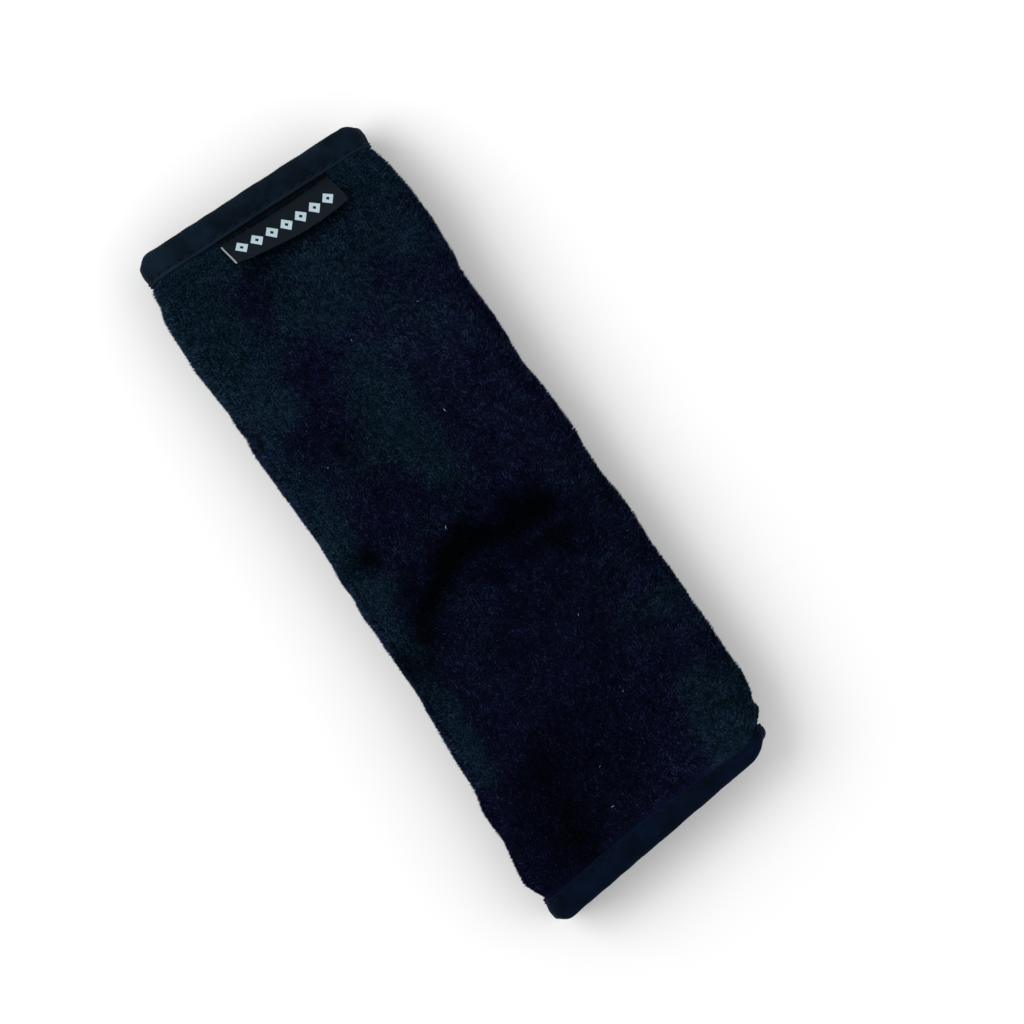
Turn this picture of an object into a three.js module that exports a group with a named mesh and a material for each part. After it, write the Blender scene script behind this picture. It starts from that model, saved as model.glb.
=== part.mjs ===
// Seat belt shoulder pad, closed round an absent belt and lying on its back.
//
// A plush panel is wrapped lengthwise into a flat tube. Its two long edges overlap underneath and are held
// by hook and loop tape. Inside the plush lie a sheet of foam and a smooth lining, both short ends are bound
// with folded tape, and a folded ribbon label is caught under the binding at one end.
//
// Millimetres. X runs across the pad, +Y along it towards the label end, +Z up, away from the closure.
import * as THREE from "three";

// The belt that the pad is made for: it isn't part of the pad, but it sizes the passage.
const WEBBING_WIDTH = 48;
const BELT_SIDE_PLAY = 1.1;

// Outline of the closed pad, seen from above.
const PAD_LENGTH = 164;
const LABEL_END_Y = 83.5;
const PLAIN_END_Y = LABEL_END_Y - PAD_LENGTH;
const PLAIN_END_SKEW = 0.144;
const SKEW_STARTS_Y = 10;
const RIGHT_EDGE = 29.2;
const RIGHT_EDGE_FLARE = 2.6;
const LEFT_EDGE = 28.6;
const LEFT_EDGE_FLARE = 1.8;
const LEFT_WAIST_Y = -12;
const LABEL_END_CORNER = 4;
const PLAIN_END_CORNER = 5.5;
const CORNER_REACH = 12;

// Thickness of each layer, and the air between layers.
const GAP = 0.25;
const LINING = 0.45;
const FOAM = 2.6;
const FOAM_CROWN = 0.6;
const PLUSH = 1.9;
const PLUSH_ON_FOLD = 1.8;
const PLUSH_UNDER_TAPE = 1.2;
const PLUSH_BOUND = 0.65;
const BINDING = 0.5;
const RIBBON = 0.25;
const HOOK_TAPE = 0.9;
const LOOP_TAPE = 1.2;

// A shallow crease that runs slantwise across the upper face.
const CREASE_DEPTH = 1.1;
const CREASE_Y = -7.6;
const CREASE_SLANT = 0.37;
const CREASE_WIDTH = 7;

// The belt passage and the overlap underneath.
const PASSAGE_HEIGHT = 5.2;
const FLAP_EDGE = 12;
const FOAM_TAPER_START = 14;
const FOAM_TAPER_END = 20;
const FOAM_EDGE = 16;
const SEAM_LIP = 1.35;

// End bindings, label and tapes.
const BINDING_WIDTH = 6.2;
const LABEL_WIDTH = 28.1;
const LABEL_CENTRE_X = 2.55;
const LABEL_ROOT = 3.6;
const LABEL_REACH = 13;
const LABEL_BULGE = 1.4;
const BINDING_BULGE = GAP + 3 * RIBBON;
const BULGE_LEFT = -13;
const BULGE_RIGHT = 18;
const TAPE_WIDTH = 20;
const TAPE_LENGTH = 134;
const TAPE_CORNER = 2.5;

// Levels worked out from the stack of layers, from the table up.
const LINED_FLAP = PLUSH + GAP + LINING;
const HOOK_TAPE_Z = LINED_FLAP + GAP;
const LOOP_TAPE_Z = HOOK_TAPE_Z + HOOK_TAPE + GAP;
const FLOOR_Z = LOOP_TAPE_Z + LOOP_TAPE + GAP + PLUSH_UNDER_TAPE + GAP + LINING;
const MID_Z = FLOOR_Z + PASSAGE_HEIGHT / 2;
const BINDING_INSIDE = GAP + BINDING;
const PASSAGE_HALF = WEBBING_WIDTH / 2 + BELT_SIDE_PLAY;
const BOUND_WALL = LINING + GAP + PLUSH_BOUND;
const BOUND_HALF = PASSAGE_HALF + BINDING_INSIDE + BOUND_WALL;

// How far from the bound end each change of form starts and how long it takes.
const BODY_STARTS = BINDING_WIDTH + 0.3;
const PILE_RISE = 4.5;
const LEVEL_RISE = 4.5;
const FOAM_RISE = 13;
const FOAM_STARTS = 14.5;
const FABRIC_STARTS = BINDING + 0.35;

const smooth = (t) => {
  const c = Math.min(1, Math.max(0, t));
  return c * c * (3 - 2 * c);
};
const mix = (a, b, t) => a + (b - a) * t;

// Distance of a place on the pad from the nearer bound end.
const fromEnd = (y) => Math.min(LABEL_END_Y - y, y - PLAIN_END_Y);
const bodyLevel = (y) => smooth((fromEnd(y) - BODY_STARTS) / LEVEL_RISE);
const pileRise = (y) => smooth((fromEnd(y) - BODY_STARTS) / PILE_RISE);
const foamRise = (y) => smooth((fromEnd(y) - BODY_STARTS) / FOAM_RISE);

// The pad's side edges, measured from the passage's middle line.
const rightEdge = (y) => RIGHT_EDGE + RIGHT_EDGE_FLARE * smooth((30 - y) / 90);
const leftEdge = (y) => LEFT_EDGE + LEFT_EDGE_FLARE * ((y - LEFT_WAIST_Y) / 70) ** 2;

const crease = (x, y) =>
  CREASE_DEPTH * Math.exp(-(((y - CREASE_Y - CREASE_SLANT * x) / CREASE_WIDTH) ** 2));

// The places round the section, from the inner flap's edge, over the upper face, to the outer flap's edge.
// A fold's angle runs from straight down, -90, to straight up, +90.
const FOLD_STEPS = 10;
const foldAngles = Array.from({ length: FOLD_STEPS + 1 }, (_, k) => -90 + (180 / FOLD_STEPS) * k);
const AROUND = [
  ...[-FLAP_EDGE, 1, FOAM_TAPER_START, FOAM_EDGE, 18, FOAM_TAPER_END].map((x) => ({ zone: "innerFlap", x })),
  ...foldAngles.map((angle) => ({ zone: "rightFold", angle })),
  ...[BULGE_RIGHT, 12, 6, 0, -6, BULGE_LEFT, -18].map((x) => ({ zone: "upper", x })),
  ...foldAngles.toReversed().map((angle) => ({ zone: "leftFold", angle })),
  ...[-FOAM_TAPER_END, -18, -FOAM_EDGE, -FOAM_TAPER_START, -6, 3, FLAP_EDGE].map((x) => ({ zone: "outerFlap", x })),
];
const FOAMED = AROUND.slice(
  AROUND.findIndex((s) => s.zone === "innerFlap" && s.x === FOAM_EDGE),
  AROUND.findIndex((s) => s.zone === "outerFlap" && s.x === -FOAM_EDGE) + 1,
);

// Thickness of foam at a place round the section, before it thins towards the ends.
function foamAt({ zone, x, angle }, y) {
  if (zone === "upper") return FOAM + FOAM_CROWN * (1 - (x / 22) ** 2) - crease(x, y);
  if (zone === "innerFlap" || zone === "outerFlap") return FOAM;
  const edge = zone === "rightFold" ? rightEdge(y) : leftEdge(y);
  const atFold = edge - PASSAGE_HALF - LINING - 2 * GAP - PLUSH_ON_FOLD;
  const turned = Math.sin(THREE.MathUtils.degToRad(angle)) ** 2;
  const side = zone === "rightFold" ? 1 : -1;
  return mix(atFold, FOAM - (angle > 0 ? crease(side * 22, y) : 0), turned);
}

// Share of the foam that is left where the flaps run out under the tapes.
function foamShare({ zone, x }) {
  if (zone !== "innerFlap" && zone !== "outerFlap") return 1;
  const inward = zone === "innerFlap" ? x : -x;
  return smooth((inward - FOAM_TAPER_START) / (FOAM_TAPER_END - FOAM_TAPER_START));
}

function plushAt({ zone, x, angle }, y) {
  let free = PLUSH;
  if (zone === "innerFlap") free = mix(PLUSH_UNDER_TAPE, PLUSH, smooth((x - FOAM_TAPER_START) / 4));
  if (angle !== undefined) free = mix(PLUSH_ON_FOLD, PLUSH, Math.sin(THREE.MathUtils.degToRad(angle)) ** 2);
  return mix(PLUSH_BOUND, free, pileRise(y));
}

// Offsets of the plush from the passage's wall, at a place round the section and along the pad.
function plushOffsets(station, y) {
  const room = foamRise(y) * foamShare(station) * (foamAt(station, y) + GAP);
  const inside = LINING + GAP + room;
  return { inside, outside: inside + plushAt(station, y) };
}

// The passage's wall at a place round the section: a point, and the direction away from the belt.
function wallAt(station, y) {
  const level = bodyLevel(y);
  const half = mix(PASSAGE_HALF + BINDING_INSIDE, PASSAGE_HALF, level);
  const drop = mix(PASSAGE_HEIGHT / 2 + BINDING_INSIDE, PASSAGE_HEIGHT / 2, level);
  const turn = half - drop;
  const flapLevel = (s) => mix(BINDING_INSIDE, 0, level) + plushOffsets(s, y).outside;
  if (station.zone === "innerFlap") return { x: station.x, z: MID_Z - drop, nx: 0, nz: -1 };
  if (station.zone === "upper") return { x: station.x, z: MID_Z + drop, nx: 0, nz: 1 };
  if (station.zone === "outerFlap") return { x: station.x, z: flapLevel(station), nx: 0, nz: -1 };
  const a = THREE.MathUtils.degToRad(station.angle);
  const side = station.zone === "rightFold" ? 1 : -1;
  // The left fold also takes in the outer flap's drop, so its lower quarter is an ellipse.
  const deep = side < 0 && a < 0 ? MID_Z - flapLevel({ zone: "leftFold", angle: -90 }) : drop;
  const normal = new THREE.Vector2(Math.cos(a) / drop, Math.sin(a) / deep).normalize();
  return {
    x: side * (turn + drop * Math.cos(a)),
    z: MID_Z + deep * Math.sin(a),
    nx: side * normal.x,
    nz: normal.y,
  };
}

// Rounds the corners that the folds leave at a bound end, and skews the plain end.
function drawnIn(station, y) {
  const wall = wallAt(station, y);
  const edge = Math.abs(wall.x + wall.nx * plushOffsets(station, y).outside);
  const atLabel = y > (LABEL_END_Y + PLAIN_END_Y) / 2;
  const radius = atLabel ? LABEL_END_CORNER : PLAIN_END_CORNER;
  const past = Math.min(0.8 * radius, Math.max(0, edge - (BOUND_HALF + GAP - radius)));
  const pull = (radius - Math.sqrt(radius ** 2 - past ** 2)) * (1 - smooth(fromEnd(y) / CORNER_REACH));
  return y + (atLabel ? -pull : pull);
}

const skewed = (x, y) => y + PLAIN_END_SKEW * x * smooth((SKEW_STARTS_Y - y) / 90);

// A point of the pad: so far out from the passage's wall, and so far past the station along the section.
function point(station, y, offset, past = 0) {
  const wall = wallAt(station, y);
  const x = wall.x + wall.nx * offset + past;
  return new THREE.Vector3(x, skewed(x, drawnIn(station, y)), wall.z + wall.nz * offset);
}

// Closes a row of equal rings into a solid, with end caps cut from the contour that the rings follow. From
// the ring's turning point on, its squares are split the other way, so that a layer's two faces stay parallel.
function loft(rings, contour, turn = rings[0].length) {
  const size = rings[0].length;
  const indices = [];
  for (let j = 0; j + 1 < rings.length; j++)
    for (let i = 0; i < size; i++) {
      const next = (i + 1) % size;
      const [a, b] = [j * size + i, j * size + next];
      if (i < turn) indices.push(a, b, b + size, a, b + size, a + size);
      else indices.push(a, b, a + size, b, b + size, a + size);
    }
  const last = (rings.length - 1) * size;
  for (const [a, b, c] of THREE.ShapeUtils.triangulateShape(contour, []))
    indices.push(a, c, b, last + a, last + b, last + c);
  const geometry = new THREE.BufferGeometry().setFromPoints(rings.flat());
  geometry.setIndex(volumeOf(rings.flat(), indices) > 0 ? indices : indices.toReversed());
  geometry.computeVertexNormals();
  return geometry;
}

function volumeOf(points, indices) {
  let six = 0;
  for (let i = 0; i < indices.length; i += 3) {
    const [a, b, c] = [points[indices[i]], points[indices[i + 1]], points[indices[i + 2]]];
    six += a.dot(new THREE.Vector3().crossVectors(b, c));
  }
  return six / 6;
}

// Places along the pad, close together where the form changes near the ends.
const END_STEPS = [FABRIC_STARTS, BODY_STARTS, 7.8, 9.4, 11.5, FOAM_STARTS, 17, 20];
const BODY_STEPS = 15;
const bodyFrom = END_STEPS.at(-1);
const ALONG = [
  ...END_STEPS.map((d) => PLAIN_END_Y + d),
  ...Array.from({ length: BODY_STEPS - 1 }, (_, k) =>
    mix(PLAIN_END_Y + bodyFrom, LABEL_END_Y - bodyFrom, (k + 1) / BODY_STEPS),
  ),
  ...END_STEPS.toReversed().map((d) => LABEL_END_Y - d),
];
// Where nothing changes with y but the outer layers, the lining runs in one piece.
const LINING_ALONG = ALONG.filter((y) => fromEnd(y) < bodyFrom + 1);
const FOAM_ALONG = ALONG.filter((y) => fromEnd(y) > FOAM_STARTS - 0.1);

// One layer of the wall: an outer and an inner face joined at the flaps' edges, where a rim may turn over.
function layer(stations, along, faces, rim = () => []) {
  const [first, last] = [stations[0], stations.at(-1)];
  const rimAt = (s, y, side) => rim(faces(s, y)).map(([past, offset]) => point(s, y, offset, side * past));
  const rings = along.map((y) => [
    ...stations.map((s) => point(s, y, faces(s, y).outside)),
    ...rimAt(last, y, 1),
    ...stations.toReversed().map((s) => point(s, y, faces(s, y).inside)),
    ...rimAt(first, y, -1).toReversed(),
  ]);
  const contour = rings[0].map((p) => new THREE.Vector2(p.x, p.z));
  return loft(rings, contour, stations.length);
}

// The plush is turned in over the lining's edge along both flaps. How far past the edge the turned seam
// runs, and at what offset.
const turnedSeam = ({ inside, outside }) => [
  [0.65 * SEAM_LIP, 0.95 * outside],
  [SEAM_LIP, 0.55 * outside],
  [0.85 * SEAM_LIP, 0.1 * outside],
  [GAP, 0],
  [GAP, inside],
];

const plushCover = () => layer(AROUND, ALONG, plushOffsets, turnedSeam);
const lining = () => layer(AROUND, LINING_ALONG, () => ({ inside: 0, outside: LINING }));
const foamPadding = () =>
  layer(FOAMED, FOAM_ALONG, (s, y) => ({
    inside: LINING + GAP,
    outside: plushOffsets(s, y).inside - GAP,
  }));

// Binding tape folded over one end. The profile runs from the outer leg's edge, round the end, to the inner
// leg's edge and back along the inside: distance from the end, and offset from the passage's wall.
function bindingProfile(bulge) {
  const over = BOUND_WALL + GAP + BINDING;
  const under = -BINDING_INSIDE;
  const outerLeg = [
    [BINDING_WIDTH, over + bulge],
    [3, over + 0.9 * bulge],
    [0.9, over],
    [0.25, over - 0.35],
    [0, over - 1.05],
  ];
  const innerLeg = [
    [0, under + 1.05],
    [0.25, under + 0.35],
    [0.9, under],
    [3, under],
    [BINDING_WIDTH, under],
  ];
  const inside = [
    [BINDING_WIDTH, -GAP],
    [BINDING, -GAP],
    [BINDING, BOUND_WALL + GAP],
    [3, BOUND_WALL + GAP + 0.9 * bulge],
    [BINDING_WIDTH, BOUND_WALL + GAP + bulge],
  ];
  return [...outerLeg, ...innerLeg, ...inside];
}

// Places round the section for a binding: a little past both flap edges, over the turned seams.
const BOUND_AROUND = [
  { station: AROUND[0], past: -SEAM_LIP },
  ...AROUND.map((station) => ({ station, past: 0 })),
  { station: AROUND.at(-1), past: SEAM_LIP },
];

function endBinding(atLabel) {
  const bulges = ({ zone, x }) => atLabel && zone === "upper" && x >= BULGE_LEFT && x <= BULGE_RIGHT;
  const along = (d) => (atLabel ? LABEL_END_Y - d : PLAIN_END_Y + d);
  const rings = BOUND_AROUND.map(({ station, past }) =>
    bindingProfile(bulges(station) ? BINDING_BULGE : 0).map(([d, offset]) => point(station, along(d), offset, past)),
  );
  const contour = bindingProfile(0).map(([d, offset]) => new THREE.Vector2(d, offset));
  return loft(rings, contour);
}

// The upper face's height, read between the same places along the pad as the plush is made from.
function upperFace(x, y) {
  const above = ALONG.findIndex((place) => place >= y);
  const heights = [above - 1, above].map((k) => {
    const station = { zone: "upper", x };
    return wallAt(station, ALONG[k]).z + plushOffsets(station, ALONG[k]).outside;
  });
  return mix(heights[0], heights[1], (y - ALONG[above - 1]) / (ALONG[above] - ALONG[above - 1]));
}

// Ribbon folded in half, its fold hanging free and its two tails under the binding.
function wovenLabel() {
  const steps = [LABEL_ROOT, ...END_STEPS.filter((d) => d > LABEL_ROOT && d < LABEL_REACH - 3 * RIBBON)];
  const across = Array.from({ length: 7 }, (_, k) => LABEL_CENTRE_X + LABEL_WIDTH * (k / 6 - 0.5));
  const ring = (x) => {
    const bow = Math.sin((Math.PI * (x - across[0])) / LABEL_WIDTH);
    const reach = LABEL_REACH + LABEL_BULGE * bow;
    const leg = (offset, end) => [...steps, end].map((d) => [d, offset]);
    const profile = [
      ...leg(GAP, reach - 2 * RIBBON),
      [reach, GAP + RIBBON],
      [reach, GAP + 2 * RIBBON],
      ...leg(GAP + 3 * RIBBON, reach - 2 * RIBBON).toReversed(),
      ...leg(GAP + 2 * RIBBON, reach - 3 * RIBBON),
      ...leg(GAP + RIBBON, reach - 3 * RIBBON).toReversed(),
    ];
    return profile.map(([d, offset]) => new THREE.Vector3(x, LABEL_END_Y - d, upperFace(x, LABEL_END_Y - d) + offset));
  };
  const rings = across.map(ring);
  const contour = rings[0].map((p) => new THREE.Vector2(-p.y, p.z));
  return loft(rings, contour);
}

// A strip of hook or loop tape with rounded corners, lying flat.
function tape(thickness, z) {
  const [w, h, r] = [TAPE_WIDTH / 2, TAPE_LENGTH / 2, TAPE_CORNER];
  const outline = new THREE.Shape()
    .moveTo(-w + r, -h)
    .lineTo(w - r, -h)
    .absarc(w - r, -h + r, r, -Math.PI / 2, 0)
    .absarc(w - r, h - r, r, 0, Math.PI / 2)
    .absarc(-w + r, h - r, r, Math.PI / 2, Math.PI)
    .absarc(-w + r, -h + r, r, Math.PI, 1.5 * Math.PI);
  const strip = new THREE.ExtrudeGeometry(outline, { depth: thickness, bevelEnabled: false, curveSegments: 5 });
  return strip.translate(0, (LABEL_END_Y + PLAIN_END_Y) / 2, z);
}

const FABRIC = { metalness: 0, roughness: 0.95 };
const plushNavy = new THREE.MeshStandardMaterial({ ...FABRIC, color: 0x0c1622 });
const foamGrey = new THREE.MeshStandardMaterial({ ...FABRIC, color: 0x55585c });
const liningBlack = new THREE.MeshStandardMaterial({ ...FABRIC, color: 0x11161c });
const bindingNavy = new THREE.MeshStandardMaterial({ ...FABRIC, color: 0x101e2a });
const hookBlack = new THREE.MeshStandardMaterial({ metalness: 0, roughness: 0.6, color: 0x0e0f11 });
const loopBlack = new THREE.MeshStandardMaterial({ ...FABRIC, color: 0x121316 });
const ribbonBlack = new THREE.MeshStandardMaterial({ metalness: 0, roughness: 0.7, color: 0x1c2326 });

function piece(name, geometry, material) {
  const mesh = new THREE.Mesh(geometry, material);
  mesh.name = name;
  return mesh;
}

const pad = new THREE.Group();
pad.add(
  piece("plush_cover", plushCover(), plushNavy),
  piece("foam_padding", foamPadding(), foamGrey),
  piece("lining", lining(), liningBlack),
  piece("label_end_binding", endBinding(true), bindingNavy),
  piece("plain_end_binding", endBinding(false), bindingNavy),
  piece("hook_tape", tape(HOOK_TAPE, HOOK_TAPE_Z), hookBlack),
  piece("loop_tape", tape(LOOP_TAPE, LOOP_TAPE_Z), loopBlack),
  piece("woven_label", wovenLabel(), ribbonBlack),
);

// The origin is the middle of the pad's box, on the surface that it lies on.
const box = new THREE.Box3().setFromObject(pad);
const middle = box.getCenter(new THREE.Vector3());
pad.position.set(-middle.x, -middle.y, -box.min.z);

export default pad;
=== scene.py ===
"""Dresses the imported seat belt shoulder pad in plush, knit, ribbon and thread, and sets it on a pale floor.

Every cloth layer follows one wrapped section. A place on a layer is given by three numbers in
millimetres: how far round the section it is, how far along the pad, and how far out from the belt
passage's wall. The section starts at the inner flap's edge, runs under the belt, up over one side fold,
across the upper face, down the other fold and back along the outer flap. The upper face shows in use, and
the label lies at its +Y end.
"""

import logging
from collections.abc import Sequence
from dataclasses import dataclass
from enum import Enum

import bpy
import numpy as np
from mathutils import Matrix, Vector


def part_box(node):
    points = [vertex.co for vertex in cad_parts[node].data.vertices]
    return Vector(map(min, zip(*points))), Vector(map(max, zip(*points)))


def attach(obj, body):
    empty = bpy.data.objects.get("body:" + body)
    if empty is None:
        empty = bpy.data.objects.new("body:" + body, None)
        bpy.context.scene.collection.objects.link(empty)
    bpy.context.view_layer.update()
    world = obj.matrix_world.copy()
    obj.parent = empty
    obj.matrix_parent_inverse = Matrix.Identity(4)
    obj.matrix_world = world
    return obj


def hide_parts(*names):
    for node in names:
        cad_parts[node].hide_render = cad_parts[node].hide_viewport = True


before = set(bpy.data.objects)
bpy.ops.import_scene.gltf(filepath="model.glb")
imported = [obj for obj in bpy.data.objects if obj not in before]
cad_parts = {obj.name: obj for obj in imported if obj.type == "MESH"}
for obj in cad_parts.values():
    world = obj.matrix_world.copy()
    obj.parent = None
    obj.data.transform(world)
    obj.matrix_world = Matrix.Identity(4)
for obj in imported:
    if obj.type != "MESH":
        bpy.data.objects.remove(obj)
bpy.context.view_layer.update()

log = logging.getLogger("shoulder_pad")
Array = np.ndarray
RGB = tuple[float, float, float]
SEED = 20


# Shaping with numbers


def ramp(t: Array) -> Array:
    """Eases from 0 to 1: three times t squared less twice t cubed, held flat outside 0 to 1."""
    c = np.clip(t, 0.0, 1.0)
    return c * c * (3 - 2 * c)


def mix(a: Array, b: Array, t: Array) -> Array:
    """The value a share t of the way from a to b."""
    return a + (b - a) * t


def rounded(distance: Array, reach: float) -> Array:
    """A quarter circle's height: 0 at an edge, 1 at reach and beyond it."""
    c = np.clip(distance / reach, 0.0, 1.0)
    return np.sqrt(np.maximum(0.0, 1 - (1 - c) ** 2))


def bell(t: Array) -> Array:
    """A bell curve: e to the power of less t squared, which is 1 at 0."""
    return np.exp(-(t**2))


def border(a: Array, b: Array, reach_a: float, reach_b: float) -> Array:
    """A share that rises from 0 at a grid's border to 1 inside: the least of four quarter circles' heights.

    Args:
        a: first coordinate over the grid, which changes from row to row.
        b: second coordinate, which changes from column to column.
        reach_a: how far in from the first and last row the border is rounded.
        reach_b: the same for the first and last column.

    Returns:
        The share at each place.
    """
    ends = [rounded(a - a.min(), reach_a), rounded(a.max() - a, reach_a)]
    sides = [rounded(b - b.min(), reach_b), rounded(b.max() - b, reach_b)]
    return np.minimum.reduce(ends + sides)


def spun(angle: Array, up: float = 1.0) -> Array:
    """Matrices that turn about z by each angle, and tip over where up is -1, by their cosines and sines.

    Args:
        angle: how far each one turns, in radians.
        up: 1 to leave z as it is, -1 to point it down.

    Returns:
        A 3 by 3 matrix for each angle.
    """
    c, s, o = np.cos(angle), np.sin(angle), np.zeros(len(angle))
    rows = [[c, -s * up, o], [s, c * up, o], [o, o, o + up]]
    return np.stack([np.stack(row, -1) for row in rows], 1)


def drift(x: Array, y: Array, cell: float, seed: int) -> Array:
    """Smooth random values from -1 to 1.

    Random values stand at the corners of square cells, and are blended across each cell with the ramp.

    Args:
        x: first coordinate, in the cell's unit.
        y: second coordinate.
        cell: side of a cell.
        seed: picks the random values.

    Returns:
        One value for each place.
    """
    table = np.random.default_rng(seed).uniform(-1, 1, (256, 256))
    gx, gy = np.asarray(x) / cell + 70.5, np.asarray(y) / cell + 70.5
    ix, iy = np.floor(gx).astype(int), np.floor(gy).astype(int)
    fx, fy = ramp(gx - ix), ramp(gy - iy)
    near = mix(table[ix % 256, iy % 256], table[(ix + 1) % 256, iy % 256], fx)
    far = mix(table[ix % 256, (iy + 1) % 256], table[(ix + 1) % 256, (iy + 1) % 256], fx)
    return mix(near, far, fy)


def graded(start: float, end: float, step: float, edge: float = 0.0, fine: int = 5) -> Array:
    """Places from start to end, crowded near both ends.

    Inside each edge the places follow one less the cosine of an even angle, so that a rounded border is
    smooth.

    Args:
        start: first place.
        end: last place.
        step: about how far apart the places between the edges are.
        edge: width of the crowded stretch at each end, or 0.
        fine: how many steps such a stretch has.

    Returns:
        The places, rising.
    """
    middle = np.linspace(start + edge, end - edge, max(2, round((end - start - 2 * edge) / step) + 1))
    if edge == 0:
        return middle
    turn = edge * (1 - np.cos(np.linspace(0, np.pi / 2, fine + 1)))
    return np.concatenate([start + turn[:-1], middle, (end - turn[:-1])[::-1]])


def linear(red: int, green: int, blue: int) -> RGB:
    """A screen colour, 0 to 255 each, as the linear colour that a shader takes."""
    c = np.array([red, green, blue]) / 255
    return tuple(np.where(c <= 0.04045, c / 12.92, ((c + 0.055) / 1.055) ** 2.4).tolist())


# Meshes


def new_piece(
    name: str, points: Array, faces: Array, uv: Array | None = None, tones: dict[str, Array] | None = None
) -> bpy.types.Object:
    """Makes a smooth-shaded piece from arrays.

    Args:
        name: the piece's name.
        points: places of its corners, in metres, one row each.
        faces: corner numbers, three or four to a row.
        uv: one cloth coordinate for each point, or None.
        tones: named shares that the piece's material reads, one value for each point, or None.

    Returns:
        The piece, linked into the scene, its faces pointing outwards.
    """
    first = points[faces[:, 0]]
    spans = [points[faces[:, k]] - first for k in range(1, faces.shape[1])]
    volume = sum(np.einsum("ij,ij->", first, np.cross(p, q)) for p, q in zip(spans, spans[1:]))
    if volume < 0:
        faces = faces[:, ::-1]
    mesh = bpy.data.meshes.new(name)
    mesh.vertices.add(len(points))
    mesh.vertices.foreach_set("co", np.ascontiguousarray(points, np.float32).ravel())
    mesh.loops.add(faces.size)
    mesh.loops.foreach_set("vertex_index", np.ascontiguousarray(faces, np.int32).ravel())
    mesh.polygons.add(len(faces))
    mesh.polygons.foreach_set("loop_start", np.arange(0, faces.size, faces.shape[1], dtype=np.int32))
    mesh.update(calc_edges=True)
    mesh.shade_smooth()
    if uv is not None:
        layer = mesh.uv_layers.new(name="cloth")
        layer.data.foreach_set("uv", np.ascontiguousarray(uv[faces.ravel()], np.float32).ravel())
    for key, values in (tones or {}).items():
        attribute = mesh.attributes.new(key, "FLOAT", "POINT")
        attribute.data.foreach_set("value", np.ascontiguousarray(values, np.float32).ravel())
    piece = bpy.data.objects.new(name, mesh)
    bpy.context.scene.collection.objects.link(piece)
    return piece


def closed_sheet(
    name: str, outer: Array, inner: Array, uv: Array, tones: dict[str, Array] | None = None
) -> bpy.types.Object:
    """Makes a thin closed body from the two faces of a cloth.

    Both faces are grids of the same size. The outer grid's border is the body's edge, and the inner face is
    joined to it there.

    Args:
        name: the piece's name.
        outer: the outer face, rows by columns by 3, in metres.
        inner: the inner face, likewise; its border isn't used.
        uv: cloth coordinates of the grid, rows by columns by 2.
        tones: named shares over the grid, rows by columns, or None.

    Returns:
        The piece.
    """
    rows, columns = outer.shape[:2]
    top = np.arange(rows * columns).reshape(rows, columns)
    under = top.copy()
    inside = (slice(1, -1), slice(1, -1))
    under[inside] = rows * columns + np.arange((rows - 2) * (columns - 2)).reshape(rows - 2, columns - 2)
    squares = [
        np.stack([g[:-1, :-1], g[1:, :-1], g[1:, 1:], g[:-1, 1:]], -1).reshape(-1, 4) for g in (top, under)
    ]

    def both(grid: Array) -> Array:
        """A grid's values for all of the outer face's points and the inside points of the inner face."""
        return np.concatenate([grid.reshape(rows * columns, -1), grid[inside].reshape(-1, grid.shape[2])])

    points = np.concatenate([outer.reshape(-1, 3), inner[inside].reshape(-1, 3)])
    spread = {key: both(values[..., None]) for key, values in (tones or {}).items()}
    return new_piece(name, points, np.concatenate([squares[0], squares[1][:, ::-1]]), both(uv), spread)


def repeated(name: str, shape: tuple[Array, Array], places: Array, axes: Array) -> bpy.types.Object:
    """Makes one piece of many copies of a small closed shape.

    A copied point is its place plus the axes times the shape's point.

    Args:
        name: the piece's name.
        shape: the shape's points, and its faces by point number.
        places: where each copy's origin goes, one row each.
        axes: a 3 by 3 matrix for each copy, its columns the shape's own x, y and z.

    Returns:
        The piece.
    """
    corners, faces = shape
    points = places[:, None, :] + np.einsum("nij,kj->nki", axes, corners)
    steps = np.arange(len(places))[:, None, None] * len(corners)
    return new_piece(name, points.reshape(-1, 3), (faces[None] + steps).reshape(-1, faces.shape[1]))


def tube(path: Array, radii: Array, sides: int) -> tuple[Array, Array]:
    """A closed tube along a path in the x-z plane, its two ends drawn to points.

    Each ring is a circle square to the path: its points turn between the path's sideways direction and y.

    Args:
        path: places along the tube, one row each.
        radii: the tube's radius at each place; 0 at both ends.
        sides: points round the tube.

    Returns:
        The tube's points, and its faces as triangles.
    """
    along = np.gradient(path, axis=0)
    along /= np.linalg.norm(along, axis=1)[:, None]
    side = np.stack([-along[:, 2], np.zeros(len(path)), along[:, 0]], 1)
    turn = np.linspace(0, 2 * np.pi, sides, endpoint=False)
    around = np.cos(turn)[None, :, None] * side[:, None] + np.sin(turn)[None, :, None] * np.array([0, 1.0, 0])
    rings = (path[:, None] + radii[:, None, None] * around)[1:-1].reshape(-1, 3)
    count = len(path) - 2
    ring = np.arange(count * sides).reshape(count, sides)
    a, b = ring[:-1], ring[1:]
    walls = [
        np.stack([a, np.roll(a, -1, 1), b], -1).reshape(-1, 3),
        np.stack([np.roll(a, -1, 1), np.roll(b, -1, 1), b], -1).reshape(-1, 3),
    ]
    start, end = count * sides, count * sides + 1
    caps = [
        np.stack([np.roll(ring[0], -1), ring[0], np.full(sides, start)], -1),
        np.stack([ring[-1], np.roll(ring[-1], -1), np.full(sides, end)], -1),
    ]
    return np.concatenate([rings, path[:1], path[-1:]]), np.concatenate(walls + caps)


# The wrapped section


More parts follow.
